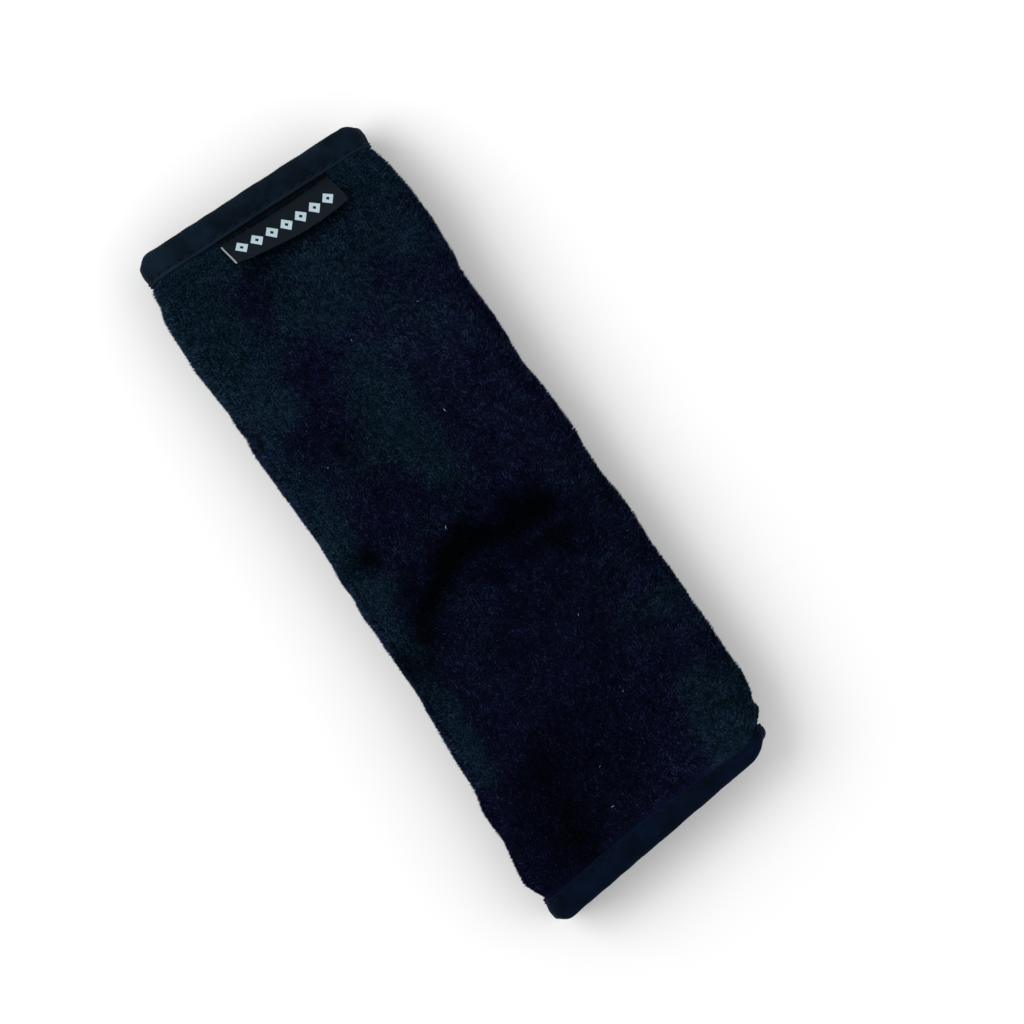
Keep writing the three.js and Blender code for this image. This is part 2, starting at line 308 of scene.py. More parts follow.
@dataclass
class Wrap:
    """The form that every cloth layer follows: the pad's section round the belt passage, in millimetres.

    The folds are named right and left as they are seen from above, with the label's end up. The corners
    are the radii at the left and right of an end, and the gains are how far past a binding the right and
    left fold reach their full width.
    """

    length: float = 164.0
    label_end: float = 83.5
    skew: float = 0.144
    passage_half: float = 25.1
    passage_height: float = 5.2
    flap_edge: float = 12.0
    gap: float = 0.25
    lining: float = 0.45
    foam: float = 2.6
    foam_crown: float = 0.6
    plush: float = 1.9
    plush_on_fold: float = 1.8
    plush_under_tape: float = 1.2
    plush_bound: float = 0.65
    binding: float = 0.5
    binding_width: float = 6.2
    ribbon: float = 0.25
    hook_tape: float = 0.9
    loop_tape: float = 1.2
    seam_lip: float = 1.35
    crease_depth: float = 1.1
    fold_run: tuple[float, float] = (16.0, 19.0)
    lapped: float = 0.42
    label_corners: tuple[float, float] = (2.7, 3.0)
    plain_corners: tuple[float, float] = (2.7, 5.3)
    label_gain: tuple[float, float] = (12.0, 9.0)
    plain_gain: tuple[float, float] = (4.0, 6.0)
    plain_spread: float = 0.065
    label_pulled: float = 1.1
    flat_flap: float = 14.0
    right_base: float = 29.1
    left_base: float = 28.8
    settled: Array | None = None
    settled_step: tuple[float, float] = (1.0, 1.0)

    def __post_init__(self) -> None:
        """Works out the levels and the section's five zones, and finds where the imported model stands."""
        self.plain_end = self.label_end - self.length
        self.middle = (self.label_end + self.plain_end) / 2
        self.bound_wall = self.lining + self.gap + self.plush_bound
        self.inset = self.gap + self.binding
        self.body_starts = self.binding_width + 0.3
        self.hook_z = self.plush + 2 * self.gap + self.lining
        self.loop_z = self.hook_z + self.hook_tape + self.gap
        floor = self.loop_z + self.loop_tape + 2 * self.gap + self.plush_under_tape + self.lining
        self.mid_z = floor + self.passage_height / 2
        self.turn = self.passage_half - self.passage_height / 2
        flap, face = self.flap_edge + self.turn, 2 * self.turn
        runs = [flap, self.fold_run[0], face, self.fold_run[1], flap]
        self.zones = np.concatenate([[0.0], np.cumsum(runs)])
        self.round = float(self.zones[-1])
        low, high = (np.array(c) * 1000 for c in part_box("hook_tape"))
        self.shift = (low + high) / 2 * np.array([1, 1, 0]) - np.array([0.0, self.middle, 0.0])

    def from_end(self, y: Array) -> Array:
        """Distance from the nearer end."""
        return np.minimum(self.label_end - y, y - self.plain_end)

    def bound(self, u: Array, y: Array) -> Array:
        """Share of the binding's width that shows: the plush laps over the plain end's, towards the right.

        Args:
            u: how far round the section.
            y: how far along the pad.

        Returns:
            The share, 1 where nothing laps over the binding.
        """
        z1, z2 = self.zones[1:3]
        over = ramp((z2 + self.turn + 6 - u) / 32) * ramp((u - z1 + 6) / 6)
        return 1 - self.lapped * over * (y < self.middle)

    def past_tape(self, u: Array, y: Array) -> Array:
        """Distance past the edge of the nearer binding's outer leg."""
        return self.from_end(y) - self.body_starts * self.bound(u, y)

    def across(self, x: Array) -> Array:
        """How far round the section a place x on the upper face is."""
        return self.zones[2] + self.turn - x

    def girth(self, offset: float) -> float:
        """Length round the section at an offset from the wall, halfway along the pad: its chords' sum.

        Args:
            offset: how far out from the passage's wall.

        Returns:
            The length in millimetres.
        """
        p = self.parts(np.linspace(0, self.round, 600), self.middle)
        chords = np.hypot(np.diff(p["x"] + p["nx"] * offset), np.diff(p["z"] + p["nz"] * offset))
        return float(chords.sum())

    def right_edge(self, y: Array) -> Array:
        """The right side's reach: it flares towards the plain end, is drawn in there, and waves a little."""
        flare = 3.1 * ramp((50 - y) / 115) - 2.2 * ramp((-65 - y) / 10) - 0.4 * bell((y + 43) / 7)
        return self.right_base + flare + 0.2 * np.sin(y / 7.3 + 0.6) + 0.16 * np.sin(y / 3.9)

    def left_edge(self, y: Array) -> Array:
        """The left side's reach: narrowest a little below the middle, with a dent there, and wavy.

        Args:
            y: how far along the pad.

        Returns:
            The reach in millimetres.
        """
        dent = 0.5 * np.cos((y + 8) / 6.2) * bell((y + 18) / 22)
        drawn = 1.0 * ramp((-60 - y) / 12) + 0.7 * ramp((y - 58) / 12) - 0.5 * bell((y + 54) / 5)
        return self.left_base + 1.9 * ((y + 8) / 66) ** 2 + dent - drawn + 0.16 * np.sin(y / 4.4 + 1)

    def crease(self, x: Array, y: Array) -> Array:
        """Depth of the slanting crease: a bell curve across a line that rises to the right."""
        return self.crease_depth * bell((y + 7.6 - 0.37 * x) / 7)

    def parts(self, u: Array, y: Array) -> dict[str, Array]:
        """Every quantity of the section at places round it and along it.

        The section is flat stretches joined by half turns. A place is a point on a flat stretch's end
        plus a radius times the cosine and sine of the fold's angle, from straight down, -90 degrees, to
        straight up.

        Args:
            u: how far round the section.
            y: how far along the pad.

        Returns:
            The wall's x and z, its outward direction nx and nz, the plush's offsets inside and outside,
            the edge that a fold should reach out to and the reach that this plain form gives it, the
            share by which the body is past the bound end, and the fold's angle.
        """
        u, y = np.broadcast_arrays(np.asarray(u, float), np.asarray(y, float))
        end = self.past_tape(u, y)
        level, pile, rise = ramp((self.from_end(y) - self.body_starts) / 4.5), ramp(end / 4.5), ramp(end / 13)
        z1, z2, z3, z4 = self.zones[1:5]
        right = u < (z2 + z3) / 2
        side = np.where(right, 1.0, -1.0)
        up = np.where(right, (u - z1) / (z2 - z1), (z4 - u) / (z4 - z3))
        angle = np.radians(-90 + 180 * np.clip(up, 0, 1))
        turned = np.sin(angle) ** 2
        flat_x = np.clip(np.where(right, z2 - u + self.turn, z3 - u - self.turn), -self.turn, self.turn)
        flat_x = np.where(u < z1, u - self.flap_edge, np.where(u > z4, u - z4 - self.turn, flat_x))
        flat_x = np.where((u >= z1) & (u <= z2), self.turn, flat_x)
        flat_x = np.where((u >= z3) & (u <= z4), -self.turn, flat_x)
        in_flap = (u < z1) | (u > z4)
        inward = np.where(u < z1, flat_x, -flat_x)
        share = np.where(in_flap, ramp((inward - self.flat_flap) / 6), 1.0)
        free = mix(self.plush_on_fold, self.plush, turned)
        under_tape = mix(self.plush_under_tape, self.plush, ramp((flat_x - self.flat_flap) / 4))
        free = np.where(u < z1, under_tape, free)
        pile_thick = mix(self.plush_bound, free, pile)
        edge = np.where(right, self.right_edge(y), self.left_edge(y))
        at_fold = edge - self.passage_half - self.lining - 2 * self.gap - self.plush_on_fold
        crease = np.where(angle > 0, self.crease(np.where(in_flap, 0, flat_x), y), 0.0)
        crown = np.where((u > z2) & (u < z3), self.foam_crown * (1 - (flat_x / 22) ** 2), 0.0)
        foam = np.where(in_flap, self.foam, mix(at_fold, self.foam + crown - crease, turned))
        inside = self.lining + self.gap + rise * share * (foam + self.gap)
        outside = inside + pile_thick
        half_height = self.passage_height / 2 + self.inset * (1 - level)
        flap_room = self.lining + self.gap + rise * share * (self.foam + self.gap)
        flap_level = self.inset * (1 - level) + flap_room + mix(self.plush_bound, self.plush, pile)
        deep = np.where(~right & (angle < 0), self.mid_z - flap_level, half_height)
        nx, nz = side * np.cos(angle) / half_height, np.sin(angle) / deep
        norm = np.hypot(nx, nz)
        lost = (1 - rise) * (at_fold + self.gap) + (1 - pile) * (self.plush_on_fold - self.plush_bound)
        return {
            "x": flat_x + side * half_height * np.cos(angle),
            "z": self.mid_z + deep * np.sin(angle),
            "nx": nx / norm,
            "nz": nz / norm,
            "inside": inside,
            "outside": outside,
            "edge": edge,
            "reach": edge - lost + self.inset * (1 - level),
            "body": ramp(end / 6),
            "angle": angle,
        }

    def swell(self, u: Array, y: Array) -> Array:
        """How far the plush stands off its plain form.

        The settled cloth and soft puckers beside the bindings add up. The folds stand off as far as gives
        them their full reach, which they gain over a short run past each binding. The outer flap, which
        the pad lies on, is pressed flat.

        Args:
            u: how far round the section.
            y: how far along the pad.

        Returns:
            The stand-off in millimetres.
        """
        near = self.past_tape(u, y)
        pucker = 0.34 * drift(u, y * 0.35, 5.5, SEED + 1) * np.exp(-np.maximum(near, 0) / 9)
        loose = 0.22 * drift(u, y, 13, SEED + 2) * ramp(near / 8)
        z1, z2, z3, z4 = self.zones[1:5]
        right, left = np.abs(u - (z1 + z2) / 2), np.abs(u - (z3 + z4) / 2)
        at_fold = 1 - ramp((np.minimum(right, left) - 3) / 9)
        is_right = right < left
        run = np.where(y > 0, np.where(is_right, *self.label_gain), np.where(is_right, *self.plain_gain))
        form = self.parts(u, y)
        tape = self.passage_half + self.inset + self.bound_wall + 0.1
        full = at_fold * (mix(tape, form["edge"] + 0.1, ramp((near + 0.5) / run)) - form["reach"])
        pressed = 1 - 0.9 * ramp((u - z4 + 5) / 6)
        return pressed * (ramp(near / 6) * (pucker + loose + self.settled_at(u, y)) + full)

    def settled_at(self, u: Array, y: Array) -> Array:
        """The settled cloth's stand-off, read from its coarse grid with cubic weights in both directions.

        Args:
            u: how far round the section.
            y: how far along the pad.

        Returns:
            The stand-off in millimetres, 0 where no cloth has been settled.
        """
        if self.settled is None:
            return 0.0
        rows, columns = self.settled.shape
        gu = np.clip(np.asarray(u) / self.settled_step[0], 0, rows - 1.001)
        gy = np.clip((np.asarray(y) - self.plain_end) / self.settled_step[1], 0, columns - 1.001)
        iu, iy = np.floor(gu).astype(int), np.floor(gy).astype(int)

        def weights(t: Array) -> list[Array]:
            """What each of the four nearest lines of the grid weighs, a share t past the second of them."""
            rising, falling = 3 * t**3 - 6 * t**2 + 4, -3 * t**3 + 3 * t**2 + 3 * t + 1
            return [(1 - t) ** 3 / 6, rising / 6, falling / 6, t**3 / 6]

        round_way, long_way = weights(gu - iu), weights(gy - iy)
        total = 0.0
        for i in range(4):
            for j in range(4):
                at = self.settled[np.clip(iu + i - 1, 0, rows - 1), np.clip(iy + j - 1, 0, columns - 1)]
                total = total + round_way[i] * long_way[j] * at
        return total

    def place(self, x: Array, y: Array, z: Array, reach: Array) -> Array:
        """Turns a place of the plain wrap into metres in the model's frame.

        Near each end the corners are drawn in on a quarter circle, and the plain end is cut aslant: a
        place moves along the pad by the slant times its x. The plain end also spreads a little, as cloth
        does with wear, and the label end has been pulled a little to the left.

        Args:
            x: across the pad.
            y: along the pad.
            z: up.
            reach: the plush's own reach there, which says how much of the corner is drawn in.

        Returns:
            The places, with a last axis of 3.
        """
        at_label = y > self.middle
        ends = [np.where(x < 0, *corners) for corners in (self.label_corners, self.plain_corners)]
        radius = np.where(at_label, *ends)
        bound_half = self.passage_half + self.inset + self.bound_wall + self.gap
        past = np.clip(reach - (bound_half - radius), 0, 0.8 * radius)
        pull = (radius - np.sqrt(radius**2 - past**2)) * (1 - ramp(self.from_end(y) / 12))
        y = y + np.where(at_label, -pull, pull)
        y = y + self.skew * x * ramp((10 - y) / 90)
        x = x * (1 + self.plain_spread * ramp((-60 - y) / 16)) - self.label_pulled * ramp((y - 70) / 7)
        return (np.stack([x, y, np.broadcast_to(z, np.shape(x))], -1) + self.shift) / 1000

    def surface(self, u: Array, y: Array, offset: Array) -> Array:
        """Places on a layer: the wall's place plus the outward direction times the offset.

        Args:
            u: how far round the section.
            y: how far along the pad.
            offset: how far out from the passage's wall.

        Returns:
            The places, in metres, with a last axis of 3.
        """
        p = self.parts(u, y)
        edge = np.abs(p["x"] + p["nx"] * p["outside"])
        y = np.broadcast_to(y, p["x"].shape)
        return self.place(p["x"] + p["nx"] * offset, y, p["z"] + p["nz"] * offset, edge)

    def frames(self, u: Array, y: Array, offset: Array) -> tuple[Array, Array]:
        """Places on a layer and the directions there.

        The two directions along the cloth are differences between neighbouring places, and the third is
        their cross product.

        Args:
            u: how far round the section.
            y: how far along the pad.
            offset: how far out from the passage's wall.

        Returns:
            The places, and for each a matrix whose columns run round the section, along the pad and
            outwards.
        """
        at = self.surface(u, y, offset)
        step = 0.05
        round_way = self.surface(u + step, y, offset) - at
        long_way = self.surface(u, y + step, offset) - at
        round_way /= np.linalg.norm(round_way, axis=-1, keepdims=True)
        out = np.cross(round_way, long_way)
        out /= np.linalg.norm(out, axis=-1, keepdims=True)
        middle = self.parts(u, y)
        facing = np.sign(out[..., 0] * middle["nx"] + out[..., 2] * middle["nz"])[..., None]
        out = out * facing
        long_way = np.cross(out, round_way)
        return at, np.stack([round_way, long_way, out], -1)


# Finishes


class Graph:
    """A material's nodes, joined by name."""

    def __init__(self, name: str) -> None:
        """Starts a material with a Principled shader and an output.

        Args:
            name: the material's name.
        """
        self.material = bpy.data.materials.new(name)
        self.material.use_nodes = True
        self.tree = self.material.node_tree
        self.shader = self.tree.nodes["Principled BSDF"]

    def node(
        self, kind: str, inputs: dict[str | int, object] | None = None, **settings: object
    ) -> bpy.types.Node:
        """Adds a node, sets its properties, and sets or links its inputs.

        Args:
            kind: the shader node's type, without its first words.
            inputs: what goes to each input, by its name or number, or None.
            settings: the node's own properties.

        Returns:
            The node.
        """
        made = self.tree.nodes.new("ShaderNode" + kind)
        for key, value in settings.items():
            setattr(made, key, value)
        for key, value in (inputs or {}).items():
            self.feed(made, key, value)
        return made

    def feed(self, node: bpy.types.Node, key: str | int, value: object) -> None:
        """Links a socket to an input, or sets the input's value.

        Args:
            node: the node that has the input.
            key: the input's name or number.
            value: a socket, or what the input is set to.
        """
        if isinstance(value, bpy.types.NodeSocket):
            self.tree.links.new(value, node.inputs[key])
        else:
            node.inputs[key].default_value = value

    def math(self, operation: str, a: object, b: object = 0.0) -> bpy.types.NodeSocket:
        """One step of arithmetic on two numbers."""
        return self.node("Math", {0: a, 1: b}, operation=operation).outputs[0]

    def plus(self, a: object, b: object) -> bpy.types.NodeSocket:
        """The sum of two numbers."""
        return self.math("ADD", a, b)

    def times(self, a: object, b: object) -> bpy.types.NodeSocket:
        """The product of two numbers."""
        return self.math("MULTIPLY", a, b)

    def sine(self, place: object, period: float) -> bpy.types.NodeSocket:
        """A sine wave of a coordinate, with a period in the coordinate's unit."""
        return self.math("SINE", self.times(place, 2 * np.pi / period))

    def place(self) -> bpy.types.NodeSocket:
        """The piece's own coordinates, in metres."""
        return self.node("TexCoord").outputs["Object"]

    def cloth(self) -> Sequence[bpy.types.NodeSocket]:
        """The two cloth coordinates, in millimetres, and a third that is 0."""
        return self.node("SeparateXYZ", {0: self.node("UVMap", uv_map="cloth").outputs["UV"]}).outputs

    def share(self, name: str) -> bpy.types.NodeSocket:
        """A share that the piece carries at its points, by name."""
        return self.node("Attribute", attribute_name=name).outputs["Fac"]

    def blend(self, share: object, a: object, b: object) -> bpy.types.NodeSocket:
        """A colour between two others.

        Args:
            share: 0 for the first colour, 1 for the second.
            a: the first colour, as numbers or a socket.
            b: the second colour, likewise.

        Returns:
            The colour's socket.
        """
        made = self.node("Mix", data_type="RGBA")
        colours = [s for s in made.inputs if s.type == "RGBA"]
        self.feed(made, 0, share)
        for socket, value in zip(colours, (a, b)):
            if isinstance(value, bpy.types.NodeSocket):
                self.tree.links.new(value, socket)
            else:
                socket.default_value = (*value, 1.0)
        return next(s for s in made.outputs if s.type == "RGBA")

    def spots(self, place: object, scale: float, detail: float = 2.0, rough: float = 0.5) -> object:
        """The socket of cloudy values from 0 to 1."""
        cloud = {"Vector": place, "Scale": scale, "Detail": detail, "Roughness": rough}
        return self.node("TexNoise", cloud).outputs["Fac"]

    def finish(self, **sockets: object) -> bpy.types.Material:
        """Feeds the shader's sockets, each named in small letters, and returns the material.

        Args:
            sockets: what goes to each socket, a colour as three numbers.

        Returns:
            The material.
        """
        for key, value in sockets.items():
            name = key.replace("_", " ").title().replace("Ior", "IOR")
            if isinstance(value, tuple) and len(value) == 3:
                value = (*value, 1.0)
            self.feed(self.shader, name, value)
        return self.material

    def relief(self, height: object, distance: float, strength: float = 1.0) -> bpy.types.NodeSocket:
        """Bump from a height, so many metres deep."""
        bump = {"Height": height, "Distance": distance, "Strength": strength}
        return self.node("Bump", bump).outputs["Normal"]


@dataclass(frozen=True)
class PlushFinish:
    """Dense short pile, nearly black: teal where it leans into the light, violet navy where it leans away."""

    name: str = "plush_pile"
    teal: RGB = linear(28, 52, 70)
    violet: RGB = linear(29, 32, 69)
    # colour of the painted highlight on the brightest tufts
    tip: RGB = linear(44, 62, 86)
    shadow: RGB = (0.0001, 0.0001, 0.0003)
    tips_from: float = 0.75
    fibre: float = 2400.0
    sheen: float = 0.03
    sheen_tint: RGB = (0.2, 0.45, 0.7)

    def material(self) -> bpy.types.Material:
        """Builds the material.

        The tint attribute mixes the two hues, and the shade attribute scales them from black upwards,
        with fine spots on top. Where the shade passes three quarters the tips take a painted highlight.

        Returns:
            The material.
        """
        g = Graph(self.name)
        shade = g.share("shade")
        fine = g.spots(g.place(), self.fibre, 2, 0.6)
        hue = g.blend(g.share("tint"), self.violet, self.teal)
        colour = g.blend(g.times(shade, g.plus(g.times(fine, 0.8), 0.6)), self.shadow, hue)
        # painted highlight: the brightest tufts blend towards the tip colour
        bright = g.times(g.math("MAXIMUM", g.math("SUBTRACT", shade, self.tips_from), 0.0), 0.5)
        return g.finish(
            base_color=g.blend(bright, colour, self.tip),
            roughness=0.9,
            specular_ior_level=0.01,
            sheen_weight=self.sheen,
            sheen_roughness=0.4,
            sheen_tint=self.sheen_tint,
            normal=g.relief(fine, 0.0002, 0.5),
        )


@dataclass(frozen=True)
class KnitFinish:
    """Fine smooth knit, with wales that run along the cloth's second direction."""

    name: str
    colour: RGB
    light: RGB
    wale: float = 0.55
    course: float = 0.4
    depth: float = 0.00008
    sheen: float = 0.02
    sheen_tint: RGB = (0.3, 0.5, 0.7)
    # gain of the painted highlight over the light colour
    painted_highlight: float = 1.7
    cool: RGB = (0.5, 0.8, 1.25)
    # colour of the painted shade in the stitch groove
    groove_shade: RGB = (0.0004, 0.001, 0.002)

    def material(self) -> bpy.types.Material:
        """Builds the material: ribs and courses as sine waves of the cloth coordinates, in millimetres.

        Each course zigzags with the ribs. Crumples and larger clouds mottle the colour, which turns
        cooler in patches. The welt share paints a highlight on the tape's edge and on a lit end, and the
        groove share paints shade along the line of stitches.

        Returns:
            The material.
        """
        g = Graph(self.name)
        cloth = g.cloth()
        place = g.place()
        across = g.sine(cloth[0], self.wale)
        along = g.math("SINE", g.plus(g.times(cloth[1], 2 * np.pi / self.course), across))
        weave = g.plus(g.plus(g.times(across, 0.16), g.times(along, 0.18)), 0.5)
        fuzz = g.spots(place, 1500, 3, 0.6)
        crumple = g.spots(place, 420, 3, 0.55)
        height = g.plus(g.plus(weave, g.times(fuzz, 0.6)), g.times(crumple, 3.0))
        mottle = g.plus(g.times(crumple, 1.8), g.times(g.spots(place, 130, 2, 0.5), 2.6))
        tone = g.math("SUBTRACT", g.plus(g.times(weave, 0.5), mottle), 2.0)
        cool, painted_highlight = (tuple(np.multiply(self.light, by).tolist()) for by in (self.cool, self.painted_highlight))
        patch = g.times(g.spots(place, 55, 2, 0.5), 0.6)
        colour = g.blend(tone, self.colour, g.blend(patch, self.light, cool))
        # painted highlight on the welt share, then painted shade in the stitch groove
        colour = g.blend(g.share("welt"), colour, painted_highlight)
        colour = g.blend(g.share("groove"), colour, self.groove_shade)
        return g.finish(
            base_color=colour,
            roughness=0.75,
            specular_ior_level=0.03,
            sheen_weight=self.sheen,
            sheen_roughness=0.5,
            sheen_tint=self.sheen_tint,
            normal=g.relief(height, self.depth, 0.8),
        )


@dataclass(frozen=True)
class ThreadFinish:
    """Spun polyester thread with a soft gloss and a twist."""

    name: str
    colour: RGB
    light: RGB

    def material(self) -> bpy.types.Material:
        """Builds the material: slanting twist lines from a wave on the object's own coordinates.

        Returns:
            The material.
        """
        g = Graph(self.name)
        lines = {"Vector": g.place(), "Scale": 900.0, "Distortion": 1.5}
        height = g.node("TexWave", lines, bands_direction="DIAGONAL").outputs["Fac"]
        colour = g.blend(g.times(height, 0.7), self.colour, self.light)
        relief = g.relief(height, 0.00004)
        return g.finish(base_color=colour, roughness=0.55, specular_ior_level=0.06, normal=relief)


@dataclass(frozen=True)
class RibbonFinish:
    """Damask ribbon: a dark satin ground, a row of small pale diamonds, and a pale cut edge at one end."""

    name: str = "label_ribbon"
    ground: RGB = linear(10, 17, 23)
    ground_light: RGB = linear(24, 33, 41)
    motif: RGB = linear(184, 206, 216)
    cut_edge: RGB = linear(178, 184, 190)
    length: float = 27.4
    # how far up the face the binding's painted shadow reaches
    binding_shadow: float = 3.0
    slant: float = 1.5
    row_height: float = 6.3
    diamond: float = 1.45
    heart: float = 0.42
    pitch: float = 3.45
    count: int = 7
    cut_width: float = 0.34
    # colour of the binding's painted shadow on the ribbon
    under_tape: RGB = (0.0002, 0.0009, 0.002)

    def material(self) -> bpy.types.Material:
        """Builds the material from cloth coordinates in millimetres: x along the ribbon's row, y up its face.

        A diamond is where the distances to its centre, across and up, add to less than its size, and its
        heart is where they add to less than a small size. A row of them comes from x folded to and fro
        over half the pitch, cut off after so many. Near the binding the ribbon is in the binding's shade.

        Returns:
            The material.
        """
        g = Graph(self.name)
        x, y = g.cloth()[:2]
        place = g.place()
        weave = g.plus(g.times(g.times(g.sine(x, 0.24), g.sine(y, 0.3)), 0.5), 0.5)
        half_run = self.pitch * self.count / 2
        along = g.math("SUBTRACT", g.math("PINGPONG", g.plus(x, half_run), self.pitch / 2), self.pitch / 2)
        up = g.math("ABSOLUTE", g.math("SUBTRACT", y, self.row_height))
        reach = g.plus(g.math("ABSOLUTE", along), up)
        solid = g.math("LESS_THAN", reach, self.diamond)
        in_row = g.math("LESS_THAN", g.math("ABSOLUTE", x), half_run)
        motif = g.times(g.times(solid, g.math("GREATER_THAN", reach, self.heart)), in_row)
        cut = g.math("LESS_THAN", x, self.cut_width - self.length / 2)
        cut = g.times(cut, g.math("GREATER_THAN", y, self.binding_shadow + 1.3))
        # painted shadow of the binding over the ribbon's strip next to it, its edge ragged and slanting
        edge = g.plus(self.binding_shadow - 0.25, g.times(g.spots(place, 900), 0.5))
        binding_shadow = g.math("LESS_THAN", g.plus(y, g.times(x, self.slant / self.length)), edge)
        ground = g.blend(weave, self.ground, self.ground_light)
        ground = g.blend(g.times(g.spots(place, 500, 2), 0.4), ground, self.ground)
        colour = g.blend(g.times(motif, 0.92), ground, self.motif)
        frayed = g.times(cut, g.plus(0.45, g.times(weave, 0.5)))
        colour = g.blend(binding_shadow, g.blend(frayed, colour, self.cut_edge), self.under_tape)
        relief = g.relief(g.plus(weave, g.times(motif, 1.6)), 0.00005)
        return g.finish(base_color=colour, roughness=0.5, specular_ior_level=0.03, normal=relief)


@dataclass(frozen=True)
class FoamFinish:
    """Open-cell foam: small cells of two sizes, pale grey."""

    name: str = "foam_cells"
    wall: RGB = linear(98, 101, 104)
    cell: RGB = linear(54, 57, 60)

    def material(self) -> bpy.types.Material:
        """Builds the material: cells from two Voronoi patterns on the object's own coordinates.

        Returns:
            The material.
        """
        g = Graph(self.name)
        place = g.place()
        cells = g.node("TexVoronoi", {"Vector": place, "Scale": 2600.0}).outputs["Distance"]
        small = g.node("TexVoronoi", {"Vector": place, "Scale": 6000.0}).outputs["Distance"]
        height = g.plus(cells, g.times(small, 0.5))
        colour = g.blend(height, self.cell, self.wall)
        return g.finish(base_color=colour, roughness=0.95, normal=g.relief(height, 0.0002))


@dataclass(frozen=True)
class NylonFinish:
    """Moulded or drawn nylon of the closure tapes."""

    name: str
    colour: RGB
    light: RGB
    roughness: float

    def material(self) -> bpy.types.Material:
        """Builds the material: a close weave on the object's own coordinates, with cloudy wear.

        Returns:
            The material.
        """
        g = Graph(self.name)
        place = g.place()
        weave = g.node("TexWave", {"Vector": place, "Scale": 420.0, "Distortion": 0.6}).outputs["Fac"]
        cloud = g.spots(place, 260, 3)
        tone = g.times(g.plus(weave, cloud), 0.5)
        return g.finish(
            base_color=g.blend(tone, self.colour, self.light),
            roughness=self.roughness,
            specular_ior_level=0.4,
            normal=g.relief(weave, 0.00005),
        )


@dataclass(frozen=True)
class FloorFinish:
    """Matt pale floor that keeps the pad's shadow and runs out into white far away."""

    name: str = "pale_floor"
    colour: RGB = (0.96, 0.96, 0.96)
    cloud: RGB = (0.85, 0.85, 0.85)
    fade_from: float = 0.3
    fade_to: float = 0.7

    def material(self) -> bpy.types.Material:
        """Builds the material: past the fade distances, what the camera sees is plain white.

        Returns:
            The material.
        """
        g = Graph(self.name)
        place = g.place()
        colour = g.blend(g.times(g.spots(place, 3, 2), 0.03), self.colour, self.cloud)
        g.finish(base_color=colour, roughness=0.9, specular_ior_level=0.1)
        away = g.node("VectorMath", {0: place}, operation="LENGTH").outputs["Value"]
        span = {"Value": away, "From Min": self.fade_from, "From Max": self.fade_to}
        far = g.node("MapRange", span, interpolation_type="SMOOTHSTEP").outputs["Result"]
        seen = g.times(far, g.node("LightPath").outputs["Is Camera Ray"])
        white = g.node("Emission", {"Color": (1, 1, 1, 1), "Strength": 1.0}).outputs[0]
        both = g.node("MixShader", {0: seen, 1: g.shader.outputs[0], 2: white}).outputs[0]
        g.feed(g.tree.nodes["Material Output"], "Surface", both)
        return g.material


def dress(piece: bpy.types.Object, material: bpy.types.Material, slot: str, *nodes: str) -> bpy.types.Object:
    """Gives a piece its material and its body, and hides the CAD nodes that it stands for.

    Args:
        piece: the piece.
        material: its material.
        slot: not used.
        nodes: the CAD nodes that it replaces, if any.

    Returns:
        The piece.
    """
    piece.data.materials.append(material)
    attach(piece, "root")
    if nodes:
        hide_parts(*nodes)
    log.info("%s: %d triangles", piece.name, len(piece.data.loops) - 2 * len(piece.data.polygons))
    return piece


# Sub-assemblies


